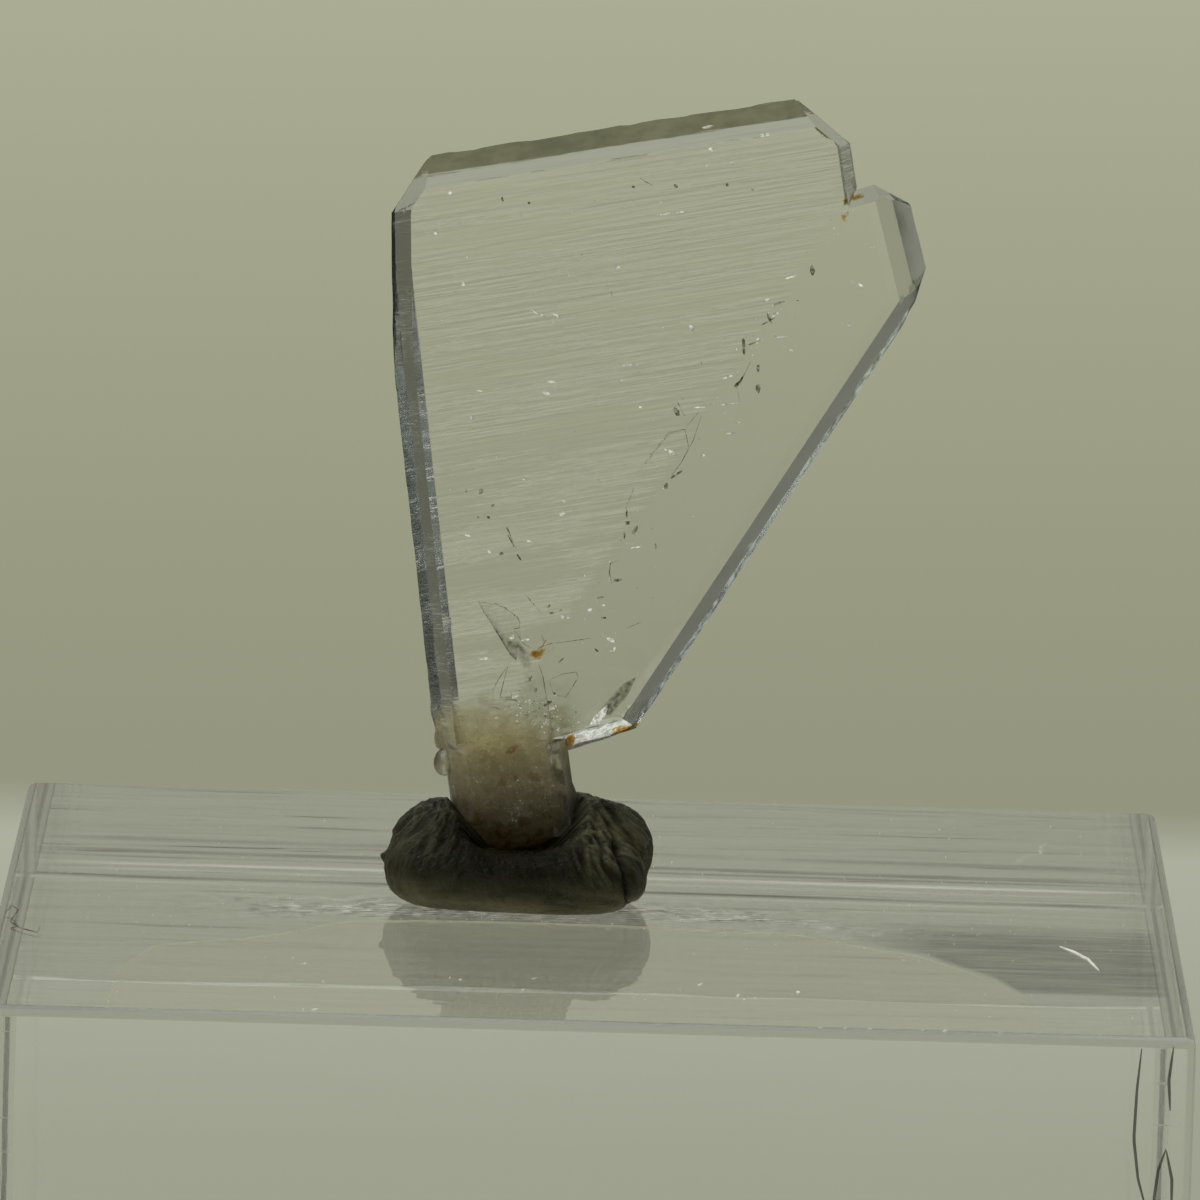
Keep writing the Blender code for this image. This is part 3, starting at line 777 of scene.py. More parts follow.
def make_flame_veil():
    """A healed crack's veil between two edges, thicker along its foot, and its foggy tail."""
    grid = between(FLAME_TOP, FLAME_FOOT, 40, 60, 0.12)
    down, along = ramps(40, 60)
    film = 0.12 + 0.75 * np.clip((down - 0.62) / 0.38, 0, 1) ** 1.2 * np.clip(along * 2.2 - 0.2, 0, 1)
    tail = between(((-0.2, -0.45, 11.2), (0.3, -0.4, 10.7), (0.62, -0.3, 9.9), (0.75, -0.2, 9.0)),
                   ((0.35, -0.5, 11.3), (0.9, -0.45, 10.8), (1.15, -0.4, 9.9), (1.25, -0.3, 9.0)),
                   30, 46, 0.1)
    down, along = ramps(30, 46)
    patchy = np.clip(0.7 + 0.8 * layered_noise(tail * 2.2, 3, 70), 0, 1)
    fog = np.sin(down * np.pi) * (0.95 - 0.75 * along) * patchy
    return shaded_sheet("healed_crack_veil", (grid, tail), (film, fog), veil_film())


def make_bubbles():
    """A swarm of tiny bubbles above the cloudy root and clumps of glints in it, from a seed.

    Half the bubbles glow, as painted glints, and half are dark flecks of painted shade.
    """
    rng = np.random.default_rng(31)
    count = 150
    x = 1.45 + 0.85 * rng.standard_normal(count)
    z = 8.2 + 0.5 * rng.standard_normal(count) - 0.12 * x
    y = rng.uniform(-0.85, 0.7, count)
    size = rng.uniform(0.04, 0.13, count)
    spots = stacked(np.clip(x, -0.6, 3.1), y, np.clip(z, 7.3, 9.3), size,
                    size * rng.uniform(0.5, 1, count), rng.uniform(0, 180, count))
    count = 90
    clumps = np.array(((-1.7, -1.0, 5.3), (1.5, -1.1, 5.2), (1.75, -1.0, 4.4), (0.3, -1.4, 4.6)))
    glints = clumps[rng.integers(0, len(clumps), count)]
    glints = glints + rng.standard_normal((count, 3)) * (0.34, 0.12, 0.55)
    size = rng.uniform(0.02, 0.1, (count, 1))
    glints = np.hstack((glints, size, size * 0.4, rng.uniform(0, 180, (count, 1))))
    return (lens_flakes("root_glints", glints, painted_glint(), 0.012, 60, 8),
            lens_flakes("bubble_swarm", spots[::2], painted_glint(), 0.02, 80, 3),
            lens_flakes("bubble_shadows", spots[1::2], dark_mineral_and_painted_shade(), 0.04, 80, 4))


def make_scattered_specks():
    """Pin-point inclusions through the first crystal and along the twin plane, from a seed."""
    rng = np.random.default_rng(77)
    count = 130
    up, across = rng.uniform(9, 32, count), rng.uniform(-2, 12, count)
    flat = up[:, None] * LONG_AXIS + across[:, None] * SHORT_AXIS
    count = 70
    down_twin = np.array((TWIN_NORMAL[1], -TWIN_NORMAL[0]))
    near = TWIN_POINT + rng.uniform(0, 22, count)[:, None] * down_twin
    flat = np.vstack((flat, near + 0.35 * rng.standard_normal((count, 2))))
    x, z = flat.T
    within = (x > -3.6) & (z < 31) & (x < 12 + 0.1 * z) & (z > ROOT_TOP)
    flat = flat[within & (z > ROOT_TOP + 1.42 * (x - 4.6))]
    count = len(flat)
    size = rng.uniform(0.03, 0.1, count)
    spots = stacked(flat[:, 0], rng.uniform(-0.95, 0.85, count), flat[:, 1], size,
                    size * rng.uniform(0.4, 0.9, count), rng.uniform(0, 180, count))
    films = np.vstack((spots[1::3], spots[2::3]))
    return (lens_flakes("pin_point_crumbs", spots[::3], dark_mineral_and_painted_shade(), 0.03, 60, 5),
            lens_flakes("pin_point_films", films, painted_glint(), 0.01, 60, 6))


def surfaced(material, shader):
    """The material, with a shader for its surface."""
    node(material.node_tree, "OutputMaterial", {"Surface": shader})
    return material


def kept_times(tree, name, share):
    """A value kept on the piece's points, such as its film or its dust, times a share."""
    kept = node(tree, "Attribute", attribute_name=name)
    return node(tree, "Math", (kept.outputs["Fac"], share), operation="MULTIPLY")


def translucent_film(material, colour, through_share, fac, glow=0.0):
    """The material as a film that scatters light both ways, mixed with clear by its thickness.

    Its glow stands for light that is scattered or reflected many times inside the quartz.
    """
    tree = material.node_tree
    front = node(tree, "BsdfDiffuse", {"Color": colour, "Roughness": 0.5})
    through = node(tree, "BsdfTranslucent", {"Color": colour})
    body = node(tree, "MixShader", (through_share, front, through))
    if glow:
        light = node(tree, "Emission", {"Color": colour, "Strength": glow})
        body = node(tree, "AddShader", (body, light))
    clear = node(tree, "BsdfTransparent")
    return surfaced(material, node(tree, "MixShader", (fac, clear, body)))


def milky_growth():
    """Milky quartz: pale scattering growth, browner low down, with rust-brown patches.

    Its cloud is 1.1 mm across, broken into crumbs of 0.19 mm, and the rust is 0.77 mm. It glows
    more towards its top.
    """
    material, tree, place = new_material("milky_quartz_growth")
    drift = node(tree, "TexNoise", {"Vector": place, "Scale": 900.0, "Detail": 5.0, "Roughness": 0.68,
                 "Distortion": 0.5})
    thick = node(tree, "MapRange", (drift, 0.3, 0.62, 0.25))
    fac = kept_times(tree, "film", thick)
    grain = node(tree, "TexNoise", {"Vector": place, "Scale": 5200.0, "Detail": 3.0})
    crumb = node(tree, "MapRange", (grain, 0.35, 0.65, 0.1, 0.52))
    fac = node(tree, "Math", (fac, crumb), operation="MULTIPLY")
    low = node(tree, "SeparateXYZ", {"Vector": place})
    height = node(tree, "MapRange", (low.outputs["Z"], 0.0282, 0.0325))
    rust = node(tree, "TexNoise", {"Vector": place, "Scale": 1300.0, "Detail": 5.0, "Roughness": 0.65,
                "Distortion": 0.8})
    rusty = node(tree, "MapRange", (rust, 0.52, 0.68))
    pale = node(tree, "Mix", (height, "#a58f4e", "#f6f0c4"), data_type="RGBA")
    colour = node(tree, "Mix", (rusty, pale, "#8f6a2e"), data_type="RGBA")
    rise = node(tree, "MapRange", (low.outputs["Z"], 0.0295, 0.0335, 0.02, 0.15))
    return translucent_film(material, colour, 0.75, fac, rise)


def veil_film():
    """A healed crack's film: dull olive, flecked at 0.19 mm, thickest where its edge is drawn."""
    material, tree, place = new_material("healed_crack_film")
    dots = node(tree, "TexNoise", {"Vector": place, "Scale": 5200.0, "Detail": 3.0})
    fleck = node(tree, "MapRange", (dots, 0.35, 0.65, 0.35))
    fac = kept_times(tree, "film", fleck)
    tone = node(tree, "Mix", (fleck, "#4a4833", "#8a8768"), data_type="RGBA")
    return translucent_film(material, tone, 0.5, fac)


def painted_glint():
    """A white fleck, such as air in a flat inclusion, dust or a scratch, that glows: its glint is
    painted light.

    Patches of 0.14 mm glow more or less.
    """
    material, tree, place = new_material("white_fleck_painted_to_glint")
    patch = node(tree, "TexNoise", {"Vector": place, "Scale": 7000.0, "Detail": 1.0})
    bright = node(tree, "MapRange", (patch, 0.35, 0.65, 0.18, 0.62))
    shader = node(tree, "BsdfPrincipled", {"Base Color": "#fdfdf6", "Roughness": 0.25,
                  "Emission Color": "#fffdf0", "Emission Strength": bright})
    return surfaced(material, shader)


def dark_mineral_and_painted_shade():
    """A brown mineral fleck, blotched and part see-through at 0.19 mm; by the bubbles, painted shade."""
    material, tree, place = new_material("brown_fleck_and_painted_shade")
    blotch = node(tree, "TexNoise", {"Vector": place, "Scale": 5200.0, "Detail": 3.0})
    tone = node(tree, "Mix", (blotch, "#5d5330", "#a8986a"), data_type="RGBA")
    solid = node(tree, "MapRange", (blotch, 0.4, 0.6, 0.15, 0.62))
    return translucent_film(material, tone, 0.75, solid)


def frost_and_painted_light_coat(name, low, pale, stretch, thin, full, glow):
    """A pale, scattering coat on a rim, mottled in tone and thickness by one noise. Its glow is
    painted light.

    The noise is 2 mm across on the top rim, 0.53 mm on the long side, and 0.26 mm by 1.4 mm up on
    the facet. What each coat stands for is said in rim_coats.
    """
    material, tree, place = new_material(name)
    drawn = node(tree, "Mapping", {"Vector": place, "Rotation": (0, -0.15, 0), "Scale": stretch})
    steps = node(tree, "TexNoise", {"Vector": drawn, "Scale": 1.0, "Detail": 4.0, "Roughness": 0.62})
    share = node(tree, "MapRange", (steps, 0.38, 0.62))
    tone = node(tree, "Mix", (share, low, pale), data_type="RGBA")
    cloud = node(tree, "MapRange", (share, 0.0, 1.0, thin, full))
    return translucent_film(material, tone, 0.5, cloud, glow)


def iron_stain():
    """Iron oxide creeping along a crack: an amber filter, browner in its core, blotched at 0.45 mm."""
    material, tree, place = new_material("iron_oxide_stain")
    blotch = node(tree, "TexNoise", {"Vector": place, "Scale": 2200.0, "Detail": 4.0})
    tone = node(tree, "Mix", (blotch, "#6b4210", "#c08a45"), data_type="RGBA")
    patch = node(tree, "MapRange", (blotch, 0.4, 0.55))
    fac = kept_times(tree, "film", patch)
    wash = node(tree, "MapRange", (fac, 0.0, 0.3))
    core = node(tree, "MapRange", (fac, 0.2, 0.95))
    tint = node(tree, "Mix", (wash, "#ffffff", "#f0d08a"), data_type="RGBA")
    tint = node(tree, "Mix", (core, tint, "#a86a20"), data_type="RGBA")
    filtered = node(tree, "BsdfTransparent", {"Color": tint})
    stain = node(tree, "BsdfTranslucent", {"Color": tone})
    share = node(tree, "Math", (fac, 0.1), operation="MULTIPLY")
    mixed = node(tree, "MixShader", (share, filtered, stain))
    return surfaced(material, mixed)


# Iron stains in the plate: the middle, half the length and width, and the turn of the length
STAINS = (
    ((1.5, -0.55, 10.85), (0.62, 0.2), 22), ((1.1, -0.5, 10.65), (0.25, 0.3), 60),
    ((14.75, -0.3, 30.45), (0.5, 0.28), 12), ((14.35, -0.6, 29.85), (0.16, 0.34), -12),
    ((2.68, -0.95, 7.0), (0.46, 0.2), 72), ((4.8, -0.95, 7.42), (0.95, 0.16), 17),
    ((0.0, -1.3, 6.55), (0.42, 0.16), 32), ((-0.1, -1.35, 5.3), (0.5, 0.26), 25),
    ((1.0, -1.2, 5.4), (0.4, 0.2), -15),
)


def make_stains():
    """Iron stain: small soft-edged sheets where it has crept along a crack or into the notch."""
    grids, films = [], []
    u, v = np.meshgrid(np.linspace(-1, 1, 26), np.linspace(-1, 1, 26))
    from_middle = np.hypot(u, v)
    for centre, half, turn in STAINS:
        cosine, sine = math.cos(math.radians(turn)), math.sin(math.radians(turn))
        x = centre[0] + u * half[0] * cosine - v * half[1] * sine
        z = centre[2] + u * half[0] * sine + v * half[1] * cosine
        y = centre[1] + 0.05 * smooth_noise(stacked(x * 3, z * 3, 0), 80)
        grids.append(stacked(x, y, z))
        wander = 0.55 * layered_noise(grids[-1] * 3, 3, 81)
        films.append(np.clip(1.15 - from_middle + wander, 0, 1) * (from_middle < 1) * 0.8)
    return shaded_sheet("iron_stain", grids, films, iron_stain())


def growth_lines(tree, place):
    """Growth lines as a noise, and how strongly each place draws them.

    Lines are 0.19 mm apart and up to 5.2 by 2 mm long, in bands 1.3 mm high and 11 by 4 mm wide.
    They are drawn on the first crystal only.
    """
    grown_axes = stacked((SHORT_AXIS[0], 0, SHORT_AXIS[1]), (0, 1, 0), (LONG_AXIS[0], 0, LONG_AXIS[1]))
    turn = Matrix((AXES @ grown_axes).tolist()).to_euler()
    fine, broad = (node(tree, "Mapping", {"Vector": place, "Rotation": turn, "Scale": size},
                        vector_type="TEXTURE")
                   for size in ((0.0052, 0.002, 0.00019), (0.011, 0.004, 0.0013)))
    lines = node(tree, "TexNoise", {"Vector": fine, "Scale": 1.0, "Detail": 3.0, "Roughness": 0.55})
    bands = node(tree, "TexNoise", {"Vector": broad, "Scale": 1.0, "Detail": 2.0})
    heavy = node(tree, "MapRange", (bands, 0.42, 0.62, 0.15))
    toward = AXES @ (TWIN_NORMAL[0], 0, TWIN_NORMAL[1])
    past = node(tree, "VectorMath", (place, tuple(toward)), operation="DOT_PRODUCT")
    twin = float(from_plate((TWIN_POINT[0], 0, TWIN_POINT[1])) @ toward) * MM
    first = node(tree, "MapRange", (past, twin + 0.0001, twin - 0.0005))
    return lines, node(tree, "Math", (first, heavy), operation="MULTIPLY")


def quartz_roughness(tree, at, facing, lines, drawn):
    """Roughness of some growth lines, of the broken root below 33.6 mm, and of the rims."""
    streak = node(tree, "MapRange", (lines, 0.58, 0.72, 0.0, 0.26))
    rough = node(tree, "Math", (streak, drawn), operation="MULTIPLY")
    broken = node(tree, "MapRange", (at.outputs["Z"], 0.0336, 0.0316, 0.0, 0.26))
    worn = node(tree, "Math", (rough, broken), operation="ADD")
    square = node(tree, "VectorMath", (facing, tuple(AXES[:, 1])), operation="DOT_PRODUCT")
    flat = node(tree, "Math", (square,), operation="ABSOLUTE")
    rim = node(tree, "MapRange", (flat, 0.96, 0.9, 0.0, 0.12))
    return node(tree, "Math", (worn, rim), operation="ADD")


def root_haze(tree, place, at, facing):
    """How cloudy the root's skin is: from the small bead on its left to short of its right side.

    It fades out upwards at a level that drifts over 1.6 mm, has patches of 0.48 mm, and leaves
    out faces that look up, as painted shade where they would catch the light.
    """
    drift = node(tree, "TexNoise", {"Vector": place, "Scale": 620.0, "Detail": 5.0, "Roughness": 0.6,
                 "Distortion": 0.6})
    wander = node(tree, "Math", (drift, 0.0042, at.outputs["Z"]), operation="MULTIPLY_ADD")
    haze = node(tree, "MapRange", (wander, 0.0369, 0.0342), interpolation_type="SMOOTHSTEP")
    left = node(tree, "MapRange", (at.outputs["X"], -0.0004, -0.0016), interpolation_type="SMOOTHSTEP")
    fine = node(tree, "TexNoise", {"Vector": place, "Scale": 2100.0, "Detail": 5.0, "Roughness": 0.65,
                "Distortion": 0.4})
    patchy = node(tree, "MapRange", (fine, 0.36, 0.64, 0.35))
    tilt = node(tree, "SeparateXYZ", {"Vector": facing})
    ledge = node(tree, "MapRange", (tilt.outputs["Z"], 0.55, 0.25))
    bead = node(tree, "MapRange", (at.outputs["X"], -0.0067, -0.0062), interpolation_type="SMOOTHSTEP")
    for share in (left, patchy, ledge, bead):
        haze = node(tree, "Math", (haze, share), operation="MULTIPLY")
    return haze


def root_milk(tree, place, at):
    """The root's colour: pale milk, browner towards the putty, with rust of 0.9 mm."""
    sunk = node(tree, "MapRange", (at.outputs["Z"], 0.0328, 0.0290))
    milk = node(tree, "Mix", (sunk, "#ebe5bd", "#7f6a2c"), data_type="RGBA")
    rust = node(tree, "TexNoise", {"Vector": place, "Scale": 1100.0, "Detail": 4.0, "Roughness": 0.6})
    rusty = node(tree, "MapRange", (rust, 0.54, 0.68, 0.0, 0.8))
    return node(tree, "Mix", (rusty, milk, "#9c6c28"), data_type="RGBA")


def quartz_glass():
    """Rock crystal: clear, with growth lines on the first crystal and a hazy, milky root."""
    material, tree, place = new_material("rock_crystal_quartz")
    at = node(tree, "SeparateXYZ", {"Vector": place})
    facing = node(tree, "NewGeometry").outputs["Normal"]
    lines, drawn = growth_lines(tree, place)
    bump = node(tree, "Bump", {"Height": lines, "Strength": drawn, "Distance": 0.00007})
    haze = root_haze(tree, place, at, facing)
    clear = node(tree, "MapRange", (haze, 0.0, 1.0, 1.0, 0.5))
    tint = node(tree, "Mix", (haze, "#ffffff", root_milk(tree, place, at)), data_type="RGBA")
    rough = quartz_roughness(tree, at, facing, lines, drawn)
    shader = node(tree, "BsdfPrincipled", {"Base Color": tint, "Roughness": rough, "IOR": 1.544,
                  "Transmission Weight": clear, "Normal": bump})
    return surfaced(material, shader)


def faces_near(tree, place):
    """How many pairs of the block's faces a point lies at, fading in from 0.5 to 0.1 mm away."""
    axes = node(tree, "SeparateXYZ", {"Vector": place})
    spans = {"X": (0, BLOCK_HALF), "Y": (0, BLOCK_HALF), "Z": (BLOCK_TOP / 2, BLOCK_TOP / 2)}
    count = 0.0
    for axis, (middle, half) in spans.items():
        away = node(tree, "Math", (axes.outputs[axis], middle * MM), operation="SUBTRACT")
        far = node(tree, "Math", (away,), operation="ABSOLUTE")
        near = node(tree, "MapRange", (far, half * MM - 0.0005, half * MM - 0.0001))
        count = node(tree, "Math", (near, count), operation="ADD")
    return count


def acrylic_glass():
    """Cast acrylic: clear, with a slow polishing wave and hazy hairline scratches.

    The wave is 17 by 2.6 by 1.9 mm and the hairlines are 3.8 mm long and 0.15 mm apart. The
    block's edges, where two faces meet, are sanded.
    """
    material, tree, place = new_material("cast_acrylic")
    drawn = node(tree, "Mapping", {"Vector": place, "Scale": (60, 380, 520)})
    wave = node(tree, "TexNoise", {"Vector": drawn, "Scale": 1.0, "Detail": 2.0})
    bump = node(tree, "Bump", {"Height": wave, "Strength": 0.35, "Distance": 0.00004})
    hair = node(tree, "Mapping", {"Vector": place, "Rotation": (0, 0, 0.1), "Scale": (260, 6500, 5200)})
    line = node(tree, "TexNoise", {"Vector": hair, "Scale": 1.0, "Detail": 2.0})
    haze = node(tree, "MapRange", (line, 0.64, 0.74, 0.012, 0.14))
    sanded = node(tree, "MapRange", (faces_near(tree, place), 1.1, 1.5, 0.0, 0.55))
    haze = node(tree, "Math", (haze, sanded), operation="ADD")
    shader = node(tree, "BsdfPrincipled", {"Base Color": (1, 1, 1, 1), "Roughness": haze, "IOR": 1.49,
                  "Transmission Weight": 1.0, "Normal": bump})
    return surfaced(material, shader)


def surface_mark(name, colour, roughness, glow, stretch, low, high):
    """A thin mark on the acrylic, as thick as its film, broken up by drawn-out noise.

    Along x by y the noise is 25 by 0.14 mm in the lines of painted shade and light, 1.1 by 0.24
    in the scuffs, 0.8 by 0.24 in the dust streaks, 8.3 by 3.8 in the painted light arch and 6.3 by
    0.22 in the darker patch. Its glow, where there is one, is painted light.
    """
    material, tree, place = new_material(name)
    drawn = node(tree, "Mapping", {"Vector": place, "Rotation": (0, 0, 0.05), "Scale": stretch})
    noise = node(tree, "TexNoise", {"Vector": drawn, "Scale": 1.0, "Detail": 4.0, "Roughness": 0.6,
                 "Distortion": 0.3})
    shown = node(tree, "MapRange", (noise, low, high))
    alpha = kept_times(tree, "film", shown)
    shader = node(tree, "BsdfPrincipled", {"Base Color": colour, "Roughness": roughness,
                  "Emission Color": colour, "Emission Strength": glow, "Alpha": alpha})
    return surfaced(material, shader)


# The far edge of the painted light arch on the block's top, as world x and y from left to right
PAINTED_ARCH_EDGE = ((-19.96, -25.3), (-19.85, -21.81), (-19.71, -16.9), (-18.46, -11.76), (-17.18, -10.7),
             (-14.62, -9.46), (-12.4, -7.61), (-10.79, -5.39), (-8.82, -4.66), (-3.0, -4.2), (2.82, -4.53),
             (9.05, -5.32), (11.98, -7.84), (14.38, -9.57), (15.97, -12.27), (17.22, -14.13),
             (18.29, -17.29), (18.82, -21.21), (18.88, -25.3))
PAINTED_ARCH_FRONT = -25.3
# Lines of painted shade and painted light across the block's top, for edges seen through it:
# world y at the left and right ends, half the width, the strength, and whether it is a light one
PAINTED_TOP_LINES = ((9.7, 8.2, 0.55, 0.5, False), (8.3, 7.3, 0.3, 0.35, False), (6.6, 6.0, 0.5, 0.75, True),
              (5.2, 4.6, 0.35, 0.3, True), (3.55, 2.6, 0.42, 0.75, False), (12.4, 11.2, 0.7, 0.25, False),
              (2.6, 1.8, 0.3, 0.35, True))
# The larger crumbs of dust on the block's top, as x, y and length
DUST_SPOTS = (
    (-12.46, -13.51, 0.3), (-11.97, -14.73, 0.35), (-13.0, -21.89, 0.35), (-11.31, -24.38, 0.45),
    (-11.76, -24.44, 0.25), (-5.76, -16.85, 0.3), (-5.33, -17.22, 0.4), (-2.22, -16.56, 0.4),
    (-2.66, -18.96, 0.3), (2.04, -19.78, 0.25), (4.77, -16.85, 0.5), (6.36, -18.96, 0.55),
    (6.61, -19.77, 0.3), (8.89, -17.97, 0.6), (7.08, -19.28, 0.3), (3.93, -18.03, 0.25),
    (9.74, -25.2, 0.25), (10.78, -25.2, 0.3), (11.82, -25.2, 0.3), (14.02, -25.2, 0.35),
    (14.93, -25.2, 0.5), (17.22, -25.2, 0.4), (21.37, -25.2, 0.25),
)
# Lint and a scratch, as x, y and height over the block's top, and chips in its front, as x and z
LINT = ((-25.01, -5.89, 0.1), (-24.75, -5.18, 0.3), (-24.43, -6.47, 0.35), (-24.7, -8.06, 0.15),
        (-24.23, -9.09, 0.1), (-23.42, -10.07, 0.1), (-23.38, -8.97, 0.2))
SCRATCH = ((20.22, -6.45, 0.02), (20.83, -7.67, 0.02), (21.35, -9.13, 0.02), (21.75, -11.45, 0.02))
CHIPS = (((23.13, 24.9), (22.99, 23.19), (22.93, 21.07), (23.16, 19.37), (23.6, 17.9)),
         ((24.28, 20.68), (23.98, 19.74), (23.86, 18.6), (23.9, 17.0)),
         ((24.3, 20.6), (24.57, 19.4), (24.6, 18.0)), ((24.45, 25.0), (24.3, 23.6), (24.4, 22.3)))


def block_mark(title, grids, films, *look):
    """Sheets just over the block's top: grids of x, y and height, and their films and look."""
    lifted = [to_plate(stacked(x, y, BLOCK_TOP + height)) for x, y, height in grids]
    return shaded_sheet(title, lifted, films, surface_mark(title, *look))


def painted_shade_and_light_lines(title, light, *look):
    """Long lines across the block's top, each a bell across its width that wanders and fades: the
    dark ones painted shade, the light ones painted light.
    """
    share, across = np.meshgrid(np.linspace(0, 1, 240), np.linspace(-1, 1, 7))
    x = -25.0 + 50.0 * share
    grids, films = [], []
    for index, (left, right, half, strength, is_light) in enumerate(PAINTED_TOP_LINES):
        if is_light == light:
            wander = 0.14 * smooth_noise(stacked(x * 0.12, index, 0), 90)
            y = left + (right - left) * share + across * half + wander
            fade = 0.75 + 0.5 * smooth_noise(stacked(x * 0.3, 3 * index, 0), 91)
            film = np.clip(np.cos(across * np.pi / 2) * fade * strength, 0, 1)
            grids.append((x, y, 0.012 + 0.002 * index))
            films.append(film * edge_fade(share, 12))
    return block_mark(title, grids, films, *look, (40, 7000, 900), 0.3, 0.56)


def scuffed_belt(title, height, *look):
    """Scuffs in a belt across the block's top by the putty: a bell across y, broken by noise. The pale
    ones glow, as painted highlights.
    """
    x, y = np.meshgrid(np.linspace(-24.5, 24.5, 150), np.linspace(-11, 2.6, 60))
    belt = np.exp(-((y + 1.6 + 0.09 * np.abs(x + 3)) / 2.6) ** 2) * np.exp(-((x + 1) / 15) ** 4)
    patchy = np.clip(0.8 + 0.9 * layered_noise(stacked(x * 0.25, y * 0.7, 0), 3, 93), 0, 1)
    return block_mark(title, [(x, y, height)], [belt * patchy * 0.75], *look, 0.53, 0.62)


def painted_light_arch():
    """Painted light on the front of the block's top: a pale, glowing sheet with a pale rim at its far
    edge.
    """
    columns = 90
    rim = resampled(PAINTED_ARCH_EDGE, columns)
    along = np.linspace(0, 1, columns) * 60
    rim += 0.12 * stacked(*(smooth_noise(stacked(along, 0, 0), seed) for seed in (95, 96)))
    down = np.linspace(0, 1, 30)[:, None]
    x = rim[:, 0] * (1 - down) + (rim[:, 0] * 0.96) * down
    y = np.maximum(rim[:, 1], PAINTED_ARCH_FRONT) * (1 - down) + PAINTED_ARCH_FRONT * down
    film = (0.12 + 0.55 * np.exp(-down / 0.008)) * np.ones(columns)
    return block_mark("painted_light_arch", [(x, y, 0.006)], [film], "#dedbb4", 0.5, 0.24,
                      (120, 260, 900), 0.1, 0.45)


def darker_patch():
    """A darker patch on the right, streaked by fine noise, between the painted arch's edge and the
    block's.
    """
    x, y = np.meshgrid(np.linspace(10.5, 24.6, 90), np.linspace(-17.5, -2.0, 60))
    edge = np.array(PAINTED_ARCH_EDGE)[9:]
    bound = np.interp(x, edge[:, 0], edge[:, 1])
    dull = np.clip((y - bound - 0.3) / 0.8, 0, 1) * np.clip((-1.5 - y) / 3.5, 0, 1)
    dull = dull * np.clip((24.6 - x) / 0.6, 0, 1)
    dull *= np.clip((y + 17.0) / 0.6, 0, 1) * np.clip((x - 11) / 4, 0, 1)
    return block_mark("darker_patch", [(x, y, 0.022)], [dull * 0.42], "#3a3c36", 0.6, 0.0,
                      (160, 4500, 900), 0.25, 0.62)


def dust_crumbs():
    """Crumbs lying on the block's top: the larger ones in their places, the rest from a seed."""
    rng = np.random.default_rng(41)
    count = 190
    x = rng.uniform(-24, 24, count)
    y = np.where(rng.random(count) < 0.45, rng.uniform(-24, 22, count), rng.normal(-3.5, 3.5, count))
    spots = np.vstack((DUST_SPOTS, stacked(x, y, rng.uniform(0.04, 0.13, count))))
    lying = stacked(spots[:, 0], spots[:, 1], BLOCK_TOP + 0.03)
    turns = rng.uniform(0, 30, len(spots))
    flakes = np.column_stack((to_plate(lying), spots[:, 2], spots[:, 2] * 0.3, turns))
    return lens_flakes("dust_crumbs", flakes, painted_glint(), 0.03, 10, 42, AXES[2])


def make_block_marks():
    """Marks on the acrylic: lines of painted shade and light, scuffs, a painted light arch, a darker
    patch, dust and chips.
    """
    lint, scratch = (to_plate(resampled(path, 28) + (0, 0, BLOCK_TOP)) for path in (LINT, SCRATCH))
    chips = [resampled(path, 28) for path in CHIPS]
    chips = [to_plate(stacked(path[:, 0], -25.1, path[:, 1])) for path in chips]
    return (painted_shade_and_light_lines("painted_shade_and_light_lines", False, "#34362f", 0.6, 0.0),
            painted_shade_and_light_lines("painted_light_lines", True, "#f7f5ea", 0.3, 0.3),
            scuffed_belt("scuffs", 0.03, "#34362f", 0.6, 0.0, (900, 4200, 900)),
            scuffed_belt("dust_streaks_and_painted_highlights", 0.038, "#fbfaf2", 0.35, 0.35, (1250, 4200, 900)),
            painted_light_arch(), darker_patch(), dust_crumbs(),
            fine_threads("lint", [lint], 0.03, dark_mineral_and_painted_shade()),
            fine_threads("white_scratch", [scratch], 0.07, painted_glint()),
            fine_threads("edge_chips", chips, 0.07, chips_with_painted_shade()))


def chips_with_painted_shade():
    """Shell-shaped chips inside the acrylic's end; their dark tone is painted shade, for how they look
    against the pale floor.

    Their tone varies over 1.1 mm.
    """
    material, tree, place = new_material("chips_with_painted_shade")
    noise = node(tree, "TexNoise", {"Vector": place, "Scale": 900.0, "Detail": 2.0})
    tone = node(tree, "Mix", (noise, "#23241f", "#8a8d80"), data_type="RGBA")
    shader = node(tree, "BsdfPrincipled", {"Base Color": tone, "Roughness": 0.25, "Alpha": 0.6})
    return surfaced(material, shader)


def make_leaf_crack():
    """A leaf-shaped crack by the foot of the long side: a dark blade of painted shade and a bright root
    of painted glint.
    """
    blade = between(at_depth(-0.35, ((3.95, 8.1), (4.2, 8.55), (4.98, 9.42), (5.55, 9.7))),
                    at_depth(-0.35, ((3.95, 8.08), (4.45, 8.0), (5.2, 8.85), (5.55, 9.68))),
                    24, 50, 0.05)
    root = between(at_depth(-0.4, ((3.55, 7.62), (3.75, 8.0), (3.98, 8.2), (4.3, 8.5))),
                   at_depth(-0.4, ((3.57, 7.6), (4.0, 7.66), (4.2, 7.95), (4.32, 8.3))),
                   16, 30, 0.03)
    edge = np.sin(np.linspace(0, np.pi, 24))[:, None] ** 0.4 * np.ones(50)
    return (shaded_sheet("leaf_crack_shadow", [blade], [edge * 0.9], veil_film()),
            shaded_sheet("leaf_crack_glint", [root], [np.ones((16, 30))], painted_glint()))


